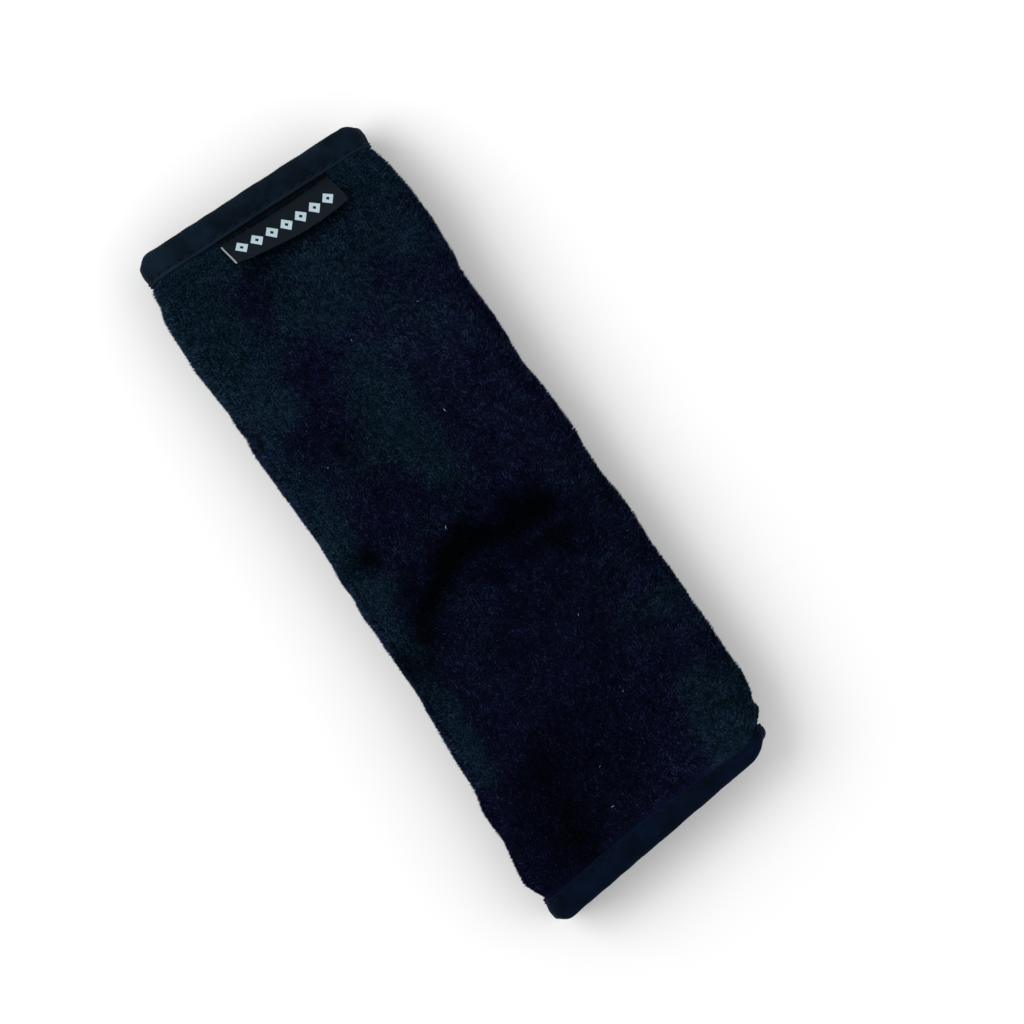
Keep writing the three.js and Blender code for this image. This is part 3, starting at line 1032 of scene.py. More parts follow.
@dataclass
class PlushCover:
    """The plush panel: its knitted ground with turned-in flap edges, and the pile that stands on it.

    A hollow is its x, y, size and depth of shade, and a violet spot its x, y and size, in millimetres.
    """

    wrap: Wrap
    finish: PlushFinish = PlushFinish()
    ground_share: float = 0.5
    grid: float = 1.4
    tufts_per_mm2: float = 11.0
    flap_tufts_per_mm2: float = 5.6
    tuft_length: float = 1.28
    tuft_radius: float = 0.185
    clump: float = 0.75
    base_shade: float = 0.47
    # painted shade at the tufts' roots and painted highlight at their tips
    root_shade: float = 0.46
    tip_shade: float = 1.24
    foot_depth: float = 0.12
    hollows: tuple[tuple[float, float, float, float], ...] = (
        (-21.5, 3.2, 3.4, 0.9),
        (-12.4, 25.5, 5.0, 0.5),
        (-16.0, -69.0, 5.0, 0.8),
        (-15.0, -53.0, 6.0, 0.5),
        (-9.0, 61.5, 5.0, 0.4),
        (-17.0, -7.0, 5.0, 0.75),
        (-20.5, -17.0, 4.0, 0.9),
        (10.6, -4.6, 4.6, 1.0),
    )
    violet_spots: tuple[tuple[float, float, float], ...] = (
        (-8.5, 61.5, 6.5),
        (-10.0, 43.0, 5.5),
        (-12.0, 32.0, 8.0),
        (-8.0, 9.0, 7.5),
        (4.0, -21.0, 11.0),
    )

    def tones(self, u: Array, y: Array) -> dict[str, Array]:
        """How the pile's lie and the light on it colour it, place by place: painted sheen and shade.

        The shade follows the tint and is cloudy too. It falls towards the plain end, most at the left
        corner, rises towards the label's right, and is nearly black in the painted shadows.

        Args:
            u: how far round the section.
            y: how far along the pad.

        Returns:
            The shade, 0 black to 1 bright, and the tint, 0 violet to 1 teal.
        """
        x = self.wrap.parts(u, y)["x"]
        spots = sum(np.exp(-((x - sx) ** 2 + (y - sy) ** 2) / size**2) for sx, sy, size in self.violet_spots)
        lit_side = bell((u - self.wrap.zones[3] - 2.5) / 3) * ramp((40 - y) / 30)
        tint = self.tint(x, u, y, lit_side, spots)
        dim = 0.14 * np.maximum(0, drift(u, y, 11, SEED + 18)) * ramp((30 - y) / 30) + 0.06 * spots
        corner = 0.2 * ramp((-38 - y) / 20) * ramp((4 - x) / 16)
        glow = 0.09 * ramp((y - 22) / 30) * ramp((x + 14) / 16)
        cloud = 0.14 * tint + 0.08 * drift(u, y, 5, SEED + 19)
        shade = self.base_shade + cloud - dim - corner + glow + 0.12 * lit_side
        # the shadow share paints shade into the pile
        return {"shade": shade * (1 - 0.97 * np.clip(self.shadow(x, u, y), 0, 1)), "tint": tint}

    def tint(self, x: Array, u: Array, y: Array, lit_side: Array, spots: Array) -> Array:
        """How teal the pile looks.

        Cloudy patches of three sizes are pushed towards their two ends, with more teal towards the label,
        along the lower right side, in a tongue down the middle and on the lit left fold, and a few violet
        spots.

        Args:
            x: across the pad.
            u: how far round the section.
            y: how far along the pad.
            lit_side: share of the lit left fold.
            spots: share of the violet spots.

        Returns:
            0 for violet to 1 for teal.
        """
        clouds = ((0.6, 17, 5), (0.45, 7, 6), (0.3, 2.6, 16))
        cloud = sum(weight * drift(u, y, size, SEED + seed) for weight, size, seed in clouds)
        trend = 0.5 * np.tanh((y - 34) / 18) + 0.55 * np.tanh((x - 14) / 8) * ramp((-22 - y) / 20)
        trend = trend + 0.7 * np.tanh((x - 12.5) / 4) * ramp((-50 - y) / 12) - 0.95 * spots
        tongue = 0.75 * bell((x + 2) / 7) * bell((y - 28) / 15)
        return 0.5 + 0.5 * np.tanh(2.2 * (cloud + trend + tongue + lit_side))

    def shadow(self, x: Array, u: Array, y: Array) -> Array:
        """How much painted shade the pile has, from 0 to about 1.

        A slanting band of painted shade wanders along the crease's ridge line, a cubic to the left and a
        square to the right, with a paler painted lee below it. The pile is painted dark too under the
        label's free edge, as its shadow, and in small hollows.

        Args:
            x: across the pad.
            u: how far round the section.
            y: how far along the pad.

        Returns:
            The largest of these at each place.
        """
        # painted shade along the crease's ridge, and a paler painted lee below it
        wander = 1.2 * drift(x, y, 11, SEED + 17) + 1.2 * drift(x, y, 3.5, SEED + 22)
        past = x - 6
        ridge = -5.2 + 0.0006 * np.minimum(past, 0) ** 3 - 0.02 * np.maximum(past, 0) ** 2
        width = 5.2 * (1 + 0.7 * ramp((-12 - x) / 10))
        band = bell((y - ridge + wander) / width) * (0.95 + 0.35 * drift(u, y, 7, SEED + 7))
        band = band * (1 - 0.55 * ramp((x - 15) / 7) - 0.12 * ramp((2 - x) / 8))
        lee = bell((y - ridge + 8 + wander) / 6) * ramp((x + 6) / 8) * ramp((26 - x) / 8)
        lee = lee * (0.42 + 0.5 * drift(u, y, 4, SEED + 25))
        # painted shadow of the label's free edge on the pile
        label = bell((self.wrap.label_end - y - 15.6) / 2.8) * ramp((15.5 - np.abs(x - 2.6)) / 5)
        dark = [band, lee, 0.72 * label]
        # painted shade in small hollows
        for hx, hy, size, depth in self.hollows:
            dark.append(depth * np.exp(-((x - hx) ** 2 + (y - hy) ** 2) / size**2))
        return np.maximum.reduce(dark)

    def ground(self) -> bpy.types.Object:
        """Builds the ground cloth as a closed sheet, rounded over the lining's edge along both flaps.

        Returns:
            The piece.
        """
        w = self.wrap
        lip = w.seam_lip
        turn = np.linspace(0, np.pi / 2, 7)
        around = [-lip * np.cos(turn)[:-1], graded(0, w.round, self.grid), w.round + lip * np.sin(turn)[1:]]
        u = np.concatenate(around)
        y = graded(w.plain_end + 0.85, w.label_end - 0.85, self.grid, 0.3, 3)
        uu, yy = np.meshgrid(u, y, indexing="ij")
        p = w.parts(uu, yy)
        past = np.maximum(np.maximum(-uu, uu - w.round), 0)
        pile = (p["outside"] - p["inside"]) * p["body"] * self.ground_share
        outer = p["outside"] + w.swell(uu, yy) - pile
        inside = np.where(past > 0.2, 0.08 * outer, p["inside"])
        shape = rounded(lip - past, lip) * np.minimum(rounded(yy - y[0], 0.3), rounded(y[-1] - yy, 0.3))
        shape[0], shape[-1], shape[:, 0], shape[:, -1] = 0, 0, 0, 0
        middle = np.where(past > 0, 0.52 * outer, (inside + outer) / 2)

        def face(offset: Array) -> Array:
            """One face of the ground: an offset, drawn to the cloth's middle along the border."""
            return w.surface(uu, yy, mix(middle, offset, shape))

        uv = np.stack([uu, yy], -1)
        return closed_sheet("plush_ground", face(outer), face(inside), uv, self.tones(uu, yy))

    def gather(self, u: Array, y: Array) -> Array:
        """How a tuft's tip is drawn towards its clump.

        A clump is a square cell of the cloth, and its middle wanders a little from cell to cell.

        Args:
            u: how far round the section.
            y: how far along the pad.

        Returns:
            The pull along both directions of the cloth, in metres.
        """
        cell_u, cell_y = np.floor(u / self.clump), np.floor(y / self.clump)
        middle_u = (cell_u + 0.5) * self.clump + 0.3 * drift(cell_u, cell_y, 1, SEED + 14)
        middle_y = (cell_y + 0.5) * self.clump + 0.3 * drift(cell_y, cell_u, 1, SEED + 15)
        return np.stack([middle_u - u, middle_y - y], -1) * 0.5 / 1000

    def pile(
        self, name: str, around: tuple[float, float], along: tuple[float, float], density: float, seed: int
    ) -> bpy.types.Object:
        """Stands tufts on one stretch of the ground.

        A tuft is a narrow three-sided spike. Its foot is at a place jittered inside a square cell. Its
        direction is the cloth's outward direction turned over by a lean, towards a heading that drifts from
        patch to patch, and its tip is drawn a little towards its clump's middle. No tip goes below the face
        that the pad lies on, since the pile there is pressed flat.

        Args:
            name: the piece's name.
            around: where the stretch starts and ends, round the section.
            along: where it starts and ends, along the pad.
            density: tufts on each square millimetre.
            seed: picks the jitter.

        Returns:
            The piece.
        """
        (start, end), (y0, y1) = around, along
        w = self.wrap
        rng = np.random.default_rng(seed)
        cell = density**-0.5
        nu, ny = round((end - start) / cell), round((y1 - y0) / cell)
        gu, gy = np.meshgrid(np.arange(nu), np.arange(ny), indexing="ij")
        u = start + (gu.ravel() + rng.uniform(0, 1, nu * ny)) * (end - start) / nu
        y = y0 + (gy.ravel() + rng.uniform(0, 1, nu * ny)) * (y1 - y0) / ny
        free = w.past_tape(u, y) > -0.1
        u, y = u[free], y[free]
        p = w.parts(u, y)
        pile = (p["outside"] - p["inside"]) * p["body"]
        level = p["outside"] + w.swell(u, y) - pile * self.ground_share - self.foot_depth
        foot, axes = w.frames(u, y, level)
        heading = self.heading(u, y) + rng.normal(0, 0.35, len(u))
        lean = np.radians(29 + 14 * drift(u, y, 15, SEED + 11) + 9 * drift(u, y, 2.2, SEED + 12))
        lean = lean + rng.normal(0, 0.1, len(u))
        grow = (0.5 + 0.5 * ramp((w.past_tape(u, y) + 0.5) / 1.8)) * (1 + rng.normal(0, 0.13, len(u)))
        grow = grow * (1 - 0.25 * np.exp(-np.abs(np.sin(p["angle"])) * 2))
        length = self.tuft_length * grow * (1 + 0.14 * drift(u, y, 3.1, SEED + 13)) / 1000
        sideways = np.sin(lean)[:, None] * np.stack([np.cos(heading), np.sin(heading)], -1)
        leaning = np.column_stack([sideways * length[:, None] + self.gather(u, y), np.cos(lean) * length])
        tip = np.einsum("nij,nj->ni", axes, leaning)
        spin = rng.uniform(0, 2 * np.pi, len(u))
        radius = self.tuft_radius * (1 + rng.normal(0, 0.15, len(u))) / 1000
        tip[:, 2] = np.maximum(tip[:, 2], 0.00005 - foot[:, 2])
        ring = [
            np.einsum("nij,nj->ni", axes, radius[:, None] * np.stack([np.cos(a), np.sin(a), 0 * a], -1))
            for a in (spin, spin + 2 * np.pi / 3, spin + 4 * np.pi / 3)
        ]
        corners = foot[:, None] + np.stack([*ring, tip], 1)
        faces = np.array([[0, 2, 1], [0, 1, 3], [1, 2, 3], [2, 0, 3]])
        steps = np.arange(len(u))[:, None, None] * 4
        tones = self.tones(u, y)
        clump_tone = 0.55 * drift(u, y, self.clump, SEED + 20) + 1.05 * drift(u, y, 0.42, SEED + 21)
        light = tones["shade"] * np.exp(clump_tone + rng.normal(0, 0.55, len(u)))
        # tuft roots painted darker, as shade between the tufts, and tips lighter, as a painted highlight
        spread = {
            "shade": np.stack([light * self.root_shade] * 3 + [light * self.tip_shade], 1),
            "tint": np.repeat(tones["tint"], 4),
        }
        uv = np.repeat(np.stack([u, y], -1), 4, axis=0)
        return new_piece(name, corners.reshape(-1, 3), (faces[None] + steps).reshape(-1, 3), uv, spread)

    def heading(self, u: Array, y: Array) -> Array:
        """Which way the pile is stroked: it drifts from patch to patch, and parts at a line along each fold.

        Args:
            u: how far round the section.
            y: how far along the pad.

        Returns:
            The heading, in radians from the way round the section.
        """
        patch = -1.2 + 1.1 * drift(u, y, 24, SEED + 8) + 0.7 * drift(u, y, 7, SEED + 9)
        first = self.wrap.zones[2] - 3.4 + 0.9 * drift(y, 0 * y, 6, SEED + 23)
        second = self.wrap.zones[3] + 4.2 + 0.9 * drift(y, 0 * y, 6, SEED + 24)
        parted = [bell((u - line) / 2.2) * np.sign(line - u) for line in (first, second)]
        return patch + 1.1 * (parted[0] - parted[1])

    def build(self) -> list[bpy.types.Object]:
        """Builds the ground and the pile and dresses them.

        Returns:
            The pieces.
        """
        w = self.wrap
        material = self.finish.material()
        ground = dress(self.ground(), material, "plush", "plush_cover")
        low, high = w.plain_end + (1 - w.lapped) * w.body_starts - 0.1, w.label_end - w.body_starts + 0.1
        whole, middle = (low, high), (low + high) / 2
        z1, z2, z3, z4 = w.zones[1:5]
        dense, thin = self.tufts_per_mm2, self.flap_tufts_per_mm2
        lay = [
            ("pile_label_half", (z2, z3), (middle, high), dense),
            ("pile_plain_half", (z2, z3), (low, middle), dense),
            ("pile_right_fold", (z1 + 1.5, z2), whole, dense),
            ("pile_left_fold", (z3, z4), whole, dense),
            ("pile_closure_flap", (z4, w.round + w.seam_lip * 0.5), whole, thin),
            ("pile_inner_flap", (w.flap_edge + 12.5, z1 + 1.5), whole, thin),
        ]
        pile = [dress(self.pile(*stretch, SEED + 30 + k), material, "plush") for k, stretch in enumerate(lay)]
        return [ground, *pile]


@dataclass
class InnerLayers:
    """The foam sheet and the lining inside the plush."""

    wrap: Wrap
    foam: FoamFinish = FoamFinish()
    knit: KnitFinish = KnitFinish("lining_knit", linear(15, 19, 24), linear(30, 35, 42), 0.7, 0.5, 0.0001)
    rounding: float = 0.3
    foam_in: float = 16.3
    foam_short: float = 14.6

    def layer(self, name: str, u: Array, y: Array, inside: Array, outside: Array) -> bpy.types.Object:
        """Builds one layer as a closed sheet between two offsets, with rounded borders.

        Args:
            name: the piece's name.
            u: places round the section.
            y: places along the pad.
            inside: offset of the inner face, over the grid or the same all over.
            outside: offset of the outer face, likewise.

        Returns:
            The piece.
        """
        uu, yy = np.meshgrid(u, y, indexing="ij")
        half = border(uu, yy, self.rounding, self.rounding) * (outside - inside) / 2
        centre = (inside + outside) / 2
        faces = [self.wrap.surface(uu, yy, centre + side * half) for side in (1, -1)]
        return closed_sheet(name, *faces, np.stack([uu, yy], -1))

    def build(self) -> list[bpy.types.Object]:
        """Builds both layers and dresses them.

        Returns:
            The pieces.
        """
        w = self.wrap
        u = graded(0.05, w.round - 0.05, 1.7, self.rounding, 3)
        y = graded(w.plain_end + 0.9, w.label_end - 0.9, 2.5, self.rounding, 3)
        lining = self.layer("lining_sheet", u, y, 0.0, w.lining)
        dress(lining, self.knit.material(), "lining", "lining")
        flat = (w.girth(w.lining / 2) / 1000, w.length / 1000)
        u = graded(w.flap_edge + self.foam_in, w.zones[4] + w.turn - self.foam_in, 1.6, self.rounding, 3)
        y = graded(w.plain_end + self.foam_short, w.label_end - self.foam_short, 2.2, self.rounding, 3)
        inside = w.parts(*np.meshgrid(u, y, indexing="ij"))["inside"]
        padding = self.layer("padding_sheet", u, y, w.lining + w.gap, inside - w.gap)
        dress(padding, self.foam.material(), "foam", "foam_padding")
        return [lining, padding]


class End(Enum):
    """The pad's two ends."""

    LABEL = "label_end"
    PLAIN = "plain_end"


@dataclass
class EndBinding:
    """Knitted tape folded over one end of the pad, with the row of stitches that holds it."""

    wrap: Wrap
    end: End
    knit: KnitFinish
    thread: ThreadFinish
    stitch_pitch: float = 2.8
    stitch_length: float = 1.75
    stitch_row: float = 5.15
    stitch_slant: float = 4.0
    thread_radius: float = 0.17

    def __post_init__(self) -> None:
        """Works out the folded tape's levels over and under the bound end, and the radius of its turn."""
        w = self.wrap
        self.over, self.under = w.bound_wall + w.gap + w.binding, -w.inset
        self.outer_radius = (self.over - self.under) / 2
        self.middle_radius = self.outer_radius - w.binding / 2
        self.leg = w.binding_width - self.outer_radius
        self.width = 2 * self.leg + np.pi * self.middle_radius
        # strengths of the painted highlight along the welt and of the painted shade along the stitch groove
        self.welt, self.dark = (0.8, 0.85) if self.end is End.LABEL else (0.25, 0.4)

    def along(self, distance: Array) -> Array:
        """Place along the pad, so far from this end."""
        return self.wrap.label_end - distance if self.end is End.LABEL else self.wrap.plain_end + distance

    def bulge(self, u: Array) -> Array:
        """How far the outer leg lifts over the label's tails.

        Args:
            u: how far round the section.

        Returns:
            The lift in millimetres.
        """
        if self.end is End.PLAIN:
            return np.zeros(np.shape(u))
        x = self.wrap.turn - (u - self.wrap.zones[2])
        room = self.wrap.gap + 3 * self.wrap.ribbon
        return room * ramp((x + 17) / 4) * ramp((21.5 - x) / 4)

    def lapped(self, u: Array, distance: Array) -> Array:
        """Distance from the end on the outer leg, drawn together where the plush laps over it.

        Args:
            u: how far round the section.
            distance: distance from the end, not yet drawn together.

        Returns:
            The distance.
        """
        w, turn = self.wrap, self.outer_radius
        share = (w.bound(u, self.along(0.0)) * w.binding_width - turn) / self.leg
        return np.where(distance > turn, turn + (distance - turn) * share, distance)

    def fold(self, v: Array, half: float) -> tuple[Array, Array]:
        """Distance from the end and offset of the folded tape, at places along its own width.

        The tape runs straight in, turns through half a circle round the end, and runs straight back. The
        circle's radius is that of the tape's middle plus or minus half its thickness.

        Args:
            v: place across the tape, from the outer leg's edge.
            half: how far out from the tape's middle, in millimetres.

        Returns:
            The distances from the end and the offsets.
        """
        run = np.pi * self.middle_radius
        angle = np.clip((v - self.leg) / self.middle_radius, 0, np.pi)
        straight = np.where(v < self.leg, self.leg - v, np.maximum(v - self.leg - run, 0))
        radius = self.middle_radius + half
        distance = self.outer_radius + straight - radius * np.sin(angle)
        return distance, (self.over + self.under) / 2 + radius * np.cos(angle)

    def tape(self) -> bpy.types.Object:
        """Builds the tape as a closed sheet, puffed between stitches and pulled in at each of them.

        Returns:
            The piece.
        """
        w, width = self.wrap, self.width
        v = graded(0, width, 0.36, 0.3, 4)
        u = graded(-w.seam_lip - 0.15, w.round + w.seam_lip + 0.15, 0.58, 0.35, 4)
        uu, vv = np.meshgrid(u, v, indexing="ij")
        phase = 2 * np.pi * uu / self.stitch_pitch
        from_edge = np.minimum(vv, width - vv)
        row = w.binding_width - self.stitch_row
        groove = bell((from_edge - row) / 0.42) * (0.16 + 0.1 * np.cos(phase))
        welt = 0.10 * bell((from_edge - 0.3) / 0.35) * (1 + 0.35 * np.cos(phase + 0.6))
        puff = 0.2 * bell((from_edge - 3.4) / 1.5) * (1 + 0.35 * drift(uu, vv, 3.2, SEED + 40))
        ripple = 0.07 * drift(uu, vv * 0.5, 2.4, SEED + 41)
        shape = border(uu, vv, 0.35, 0.3)
        pressed = 1 - 0.85 * ramp((uu - w.zones[4] + 5) / 6) * ramp((width / 2 - vv) / 2)
        grown = (puff + welt + ripple) * pressed - groove

        def face(side: int) -> Array:
            """One face of the tape: the fold at half the tape's thickness, plus what the outside puffs up.

            Args:
                side: 1 for the outside, -1 for the inside.

            Returns:
                The face's places, in metres.
            """
            half = side * shape * w.binding / 2 + (grown * shape if side > 0 else 0.0)
            distance, offset = self.fold(vv, half)
            distance = np.where(vv < width / 2, self.lapped(uu, distance), distance)
            lift = self.bulge(uu) * ramp((width / 2 - vv) / 1.6) * ramp(distance / 2.6)
            waver = 0.16 * drift(uu, 0 * uu, 9, SEED + 42) * ramp((distance - 3) / 2)
            return w.surface(uu, self.along(distance + waver), offset + lift)

        # painted highlight along the tape's welt, mottled
        light = self.welt * bell((from_edge - 0.42) / 0.36) * (0.75 + 0.25 * drift(uu, vv, 4, SEED + 43))
        if self.end is End.LABEL:
            # painted highlight on the lit left end of the label end's tape
            light = light + 0.5 * bell((uu - w.zones[3] - 1) / 4)
        # painted shade along the stitch groove, deeper at each stitch
        dark = self.dark * bell((from_edge - row - 0.05) / 0.22) * (0.75 + 0.25 * np.cos(phase))
        uv, tones = np.stack([uu, vv], -1), {"welt": light, "groove": dark}
        return closed_sheet(f"{self.end.value}_tape", face(1), face(-1), uv, tones)

    def stitches(self) -> bpy.types.Object:
        """Builds the thread: short bars that rise out of the tape and sink back, on both of its legs.

        Returns:
            The piece.
        """
        w = self.wrap
        t = np.linspace(-1, 1, 9)
        bar = [self.stitch_length / 2 * np.sin(np.pi * t / 2), 0 * t, 0.17 * np.cos(np.pi * t / 2) - 0.13]
        radii = self.thread_radius * np.sqrt(np.maximum(0, 1 - t**4))
        shape = tube(np.stack(bar, 1) / 1000, radii / 1000, 6)
        u = np.arange(-0.4, w.round + 0.5, self.stitch_pitch) + self.stitch_pitch / 2
        u = u[u < w.round + 0.6]
        row = np.full(u.shape, self.stitch_row)
        outer = (self.lapped(u, row), self.over + self.bulge(u) - 0.02, 1)
        inner = (row, np.full(u.shape, self.under + 0.02), -1)
        slant = np.array(Matrix.Rotation(np.radians(self.stitch_slant), 3, "Z"))
        rows = []
        for distance, offset, sign in (outer, inner):
            at, axes = w.frames(u, self.along(distance), offset)
            rows.append((at, axes @ slant * np.array([1, sign, sign])))
        places, axes = (np.concatenate([r[k] for r in rows]) for k in (0, 1))
        return repeated(f"{self.end.value}_stitching", shape, places, axes)

    def build(self) -> list[bpy.types.Object]:
        """Builds the tape and its stitches and dresses them."""
        tape = dress(self.tape(), self.knit.material(), "binding", f"{self.end.value}_binding")
        return [tape, dress(self.stitches(), self.thread.material(), "binding")]


@dataclass
class FoldedLabel:
    """Ribbon folded in half, its tails under the binding and its fold lying free on the pile."""

    wrap: Wrap
    finish: RibbonFinish = RibbonFinish()
    width: float = 27.4
    centre_x: float = 2.95
    root: float = 3.7
    reach: float = 13.1
    bow: float = 1.3
    lift: float = 0.8
    sink: float = 0.5
    hidden: float = 0.4

    def build(self) -> list[bpy.types.Object]:
        """Builds the ribbon as a closed sheet along its own length: under leg, fold, upper leg.

        Returns:
            The piece, in a list.
        """
        w = self.wrap
        x = graded(-self.width / 2, self.width / 2, 0.55, 0.12, 3)
        bow = np.sin(np.pi * (x / self.width + 0.5)) ** 0.8 * (1 + 0.25 * x / self.width)
        leg = self.reach - self.root
        cut = leg + self.hidden
        s = graded(-cut, cut, 0.35, 0.1, 3)
        xx, ss = np.meshgrid(x, s, indexing="ij")
        radius = 1.1 * w.ribbon
        shape = border(xx, ss, 0.12, 0.1)

        def face(side: int) -> Array:
            """One face of the ribbon: straight legs joined by half a circle, bowed out along the fold.

            Args:
                side: 1 for the outside, -1 for the inside.

            Returns:
                The face's places, in metres.
            """
            angle = np.clip(ss / radius, -np.pi / 2, np.pi / 2)
            straight = np.maximum(np.abs(ss) - radius * np.pi / 2, 0)
            turn = radius + side * shape * w.ribbon * 0.45
            reach = self.reach + self.bow * bow[:, None]
            distance = reach - radius - straight * (reach - self.root) / cut + turn * np.cos(angle)
            distance = distance + self.finish.slant * xx / self.width
            height = w.gap + 1.6 * w.ribbon + turn * np.sin(angle)
            height = height - self.sink * bell((distance - 6.9) / 0.9)
            free = ramp((distance - w.body_starts) / 5)
            curl = self.lift * (1 + 0.35 * drift(xx, distance, 8, SEED + 50))
            curl = curl + 0.12 * drift(xx, distance, 5, SEED + 51)
            u, y = w.across(self.centre_x + xx), w.label_end - distance
            return w.surface(u, y, w.parts(u, y)["outside"] + w.swell(u, y) + height + free * curl)

        uv = np.stack([xx, np.where(ss > 0, leg - ss, -9.0)], -1)
        label = closed_sheet("folded_ribbon", face(1), face(-1), uv)
        return [dress(label, self.finish.material(), "ribbon", "woven_label")]


@dataclass
class ClosureTapes:
    """The hook tape on the outer flap and the loop tape on the inner flap, face to face."""

    wrap: Wrap
    hook_finish: NylonFinish = NylonFinish("hook_nylon", linear(16, 17, 19), linear(34, 36, 39), 0.45)
    loop_finish: NylonFinish = NylonFinish("loop_nylon", linear(18, 19, 21), linear(40, 42, 46), 0.8)
    width: float = 20.0
    length: float = 134.0
    corner: float = 2.5
    ground: float = 0.38
    margin: float = 1.3
    hook_pitch: float = 2.3
    loop_pitch: float = 2.0

    def strip(self, name: str, low: float, high: float) -> bpy.types.Object:
        """Builds a strip's woven ground as a closed sheet with round corners and a faint selvedge.

        Past each corner's centre, a place is drawn in along its own direction to the corner's radius.

        Args:
            name: the piece's name.
            low: level of its underside.
            high: level of its upper side.

        Returns:
            The piece.
        """
        w = self.wrap
        x = graded(-self.width / 2, self.width / 2, 1.0, 0.2, 3)
        y = graded(-self.length / 2, self.length / 2, 1.6, 0.2, 3)
        xx, yy = np.meshgrid(x, y, indexing="ij")
        straight = [(xx, self.width / 2 - self.corner), (yy, self.length / 2 - self.corner)]
        past = [np.maximum(np.abs(a) - s, 0) for a, s in straight]
        pull = self.corner / np.maximum(np.hypot(*past), self.corner)
        px, py = (np.sign(a) * (np.minimum(np.abs(a), s) + pull * p) for (a, s), p in zip(straight, past))
        edge = np.minimum(self.width / 2 - np.abs(xx), self.length / 2 - np.abs(yy))
        shape = rounded(edge, 0.2) * (1 + 0.12 * bell((edge - 0.7) / 0.4))
        centre, rise = (low + high) / 2, 0.9 * (high - low) / 2 * shape
        levels = (centre + rise, centre - rise)
        faces = [(np.stack([px, py + w.middle, level], -1) + w.shift) / 1000 for level in levels]
        return closed_sheet(name, *faces, np.stack([xx, yy], -1))

    def field(
        self, name: str, shape: tuple[Array, Array], level: float, up: float, pitch: float, seed: int
    ) -> bpy.types.Object:
        """Stands hooks or loops over a strip in staggered rows, each turned at random.

        Args:
            name: the piece's name.
            shape: one hook's or loop's points and faces.
            level: where their feet are.
            up: 1 where they stand up, -1 where they hang down.
            pitch: how far apart they are.
            seed: picks the jitter.

        Returns:
            The piece.
        """
        rng = np.random.default_rng(seed)
        halves = (self.width / 2 - self.margin, self.length / 2 - self.margin)
        x, y = (np.arange(-half, half + 0.1, pitch) for half in halves)
        xx, yy = np.meshgrid(x, y, indexing="ij")
        xx = xx + (np.arange(len(y)) % 2)[None] * pitch * 0.35 + rng.normal(0, 0.08, xx.shape)
        places = np.stack([xx.ravel(), yy.ravel() + self.wrap.middle, np.full(xx.size, level)], -1)
        spin = rng.choice([0.0, np.pi], xx.size) + rng.normal(0, 0.5, xx.size)
        return repeated(name, shape, (places + self.wrap.shift) / 1000, spun(spin, up))

    def build(self) -> list[bpy.types.Object]:
        """Builds both tapes and dresses them.

        Returns:
            The pieces.
        """
        t = np.linspace(0, 1, 8)
        thick = np.sqrt(np.maximum(0, 1 - (2 * t - 1) ** 6))
        hook = np.stack([0.22 * (1 - np.cos(np.pi * t)) * t, 0 * t, 0.52 * np.sin(0.72 * np.pi * t)], 1)
        loop = np.stack([0.45 * np.cos(np.pi * t), 0 * t, 0.7 * np.sin(np.pi * t)], 1)
        low, high = self.wrap.hook_z, self.wrap.loop_z + self.wrap.loop_tape
        top, bottom = low + self.ground, high - self.ground
        kinds = [
            ("hook", self.hook_finish, (hook, 0.085, 4), (low, top), top - 0.05, 1, self.hook_pitch),
            ("loop", self.loop_finish, (loop, 0.06, 3), (bottom, high), bottom + 0.05, -1, self.loop_pitch),
        ]
        pieces = []
        for k, (kind, finish, (bend, radius, sides), levels, foot, up, pitch) in enumerate(kinds):
            nylon = finish.material()
            shape = tube(bend / 1000, radius * thick / 1000, sides)
            pieces.append(dress(self.strip(f"{kind}_strip", *levels), nylon, kind, f"{kind}_tape"))
            pieces.append(dress(self.field(f"{kind}s", shape, foot, up, pitch, SEED + 60 + k), nylon, kind))
        return pieces


@dataclass
class Lint:
    """A few short pale fibres caught in the pile."""

    wrap: Wrap
    finish: ThreadFinish = ThreadFinish("lint_fibre", linear(150, 156, 160), linear(205, 208, 210))
    count: int = 9
    length: float = 0.8
    radius: float = 0.042

    def build(self) -> list[bpy.types.Object]:
        """Builds the fibres, thinly and unevenly strewn over the upper face.

        Returns:
            The piece, in a list.
        """
        w = self.wrap
        rng = np.random.default_rng(SEED + 70)
        t = np.linspace(-1, 1, 7)
        fibre = np.stack([t * self.length / 2, 0 * t, 0.12 * (1 - t**2)], 1) / 1000
        shape = tube(fibre, self.radius * np.sqrt(np.maximum(0, 1 - t**4)) / 1000, 5)
        u = w.across(rng.uniform(-24, 24, self.count))
        y = rng.uniform(-68, 66, self.count)
        at, axes = w.frames(u, y, w.parts(u, y)["outside"] + w.swell(u, y) - 0.12)
        turn = spun(rng.uniform(0, np.pi, self.count))
        lint = repeated("lint", shape, at, axes @ turn * rng.uniform(0.6, 1.2, (self.count, 1, 1)))
        return [dress(lint, self.finish.material(), "plush")]


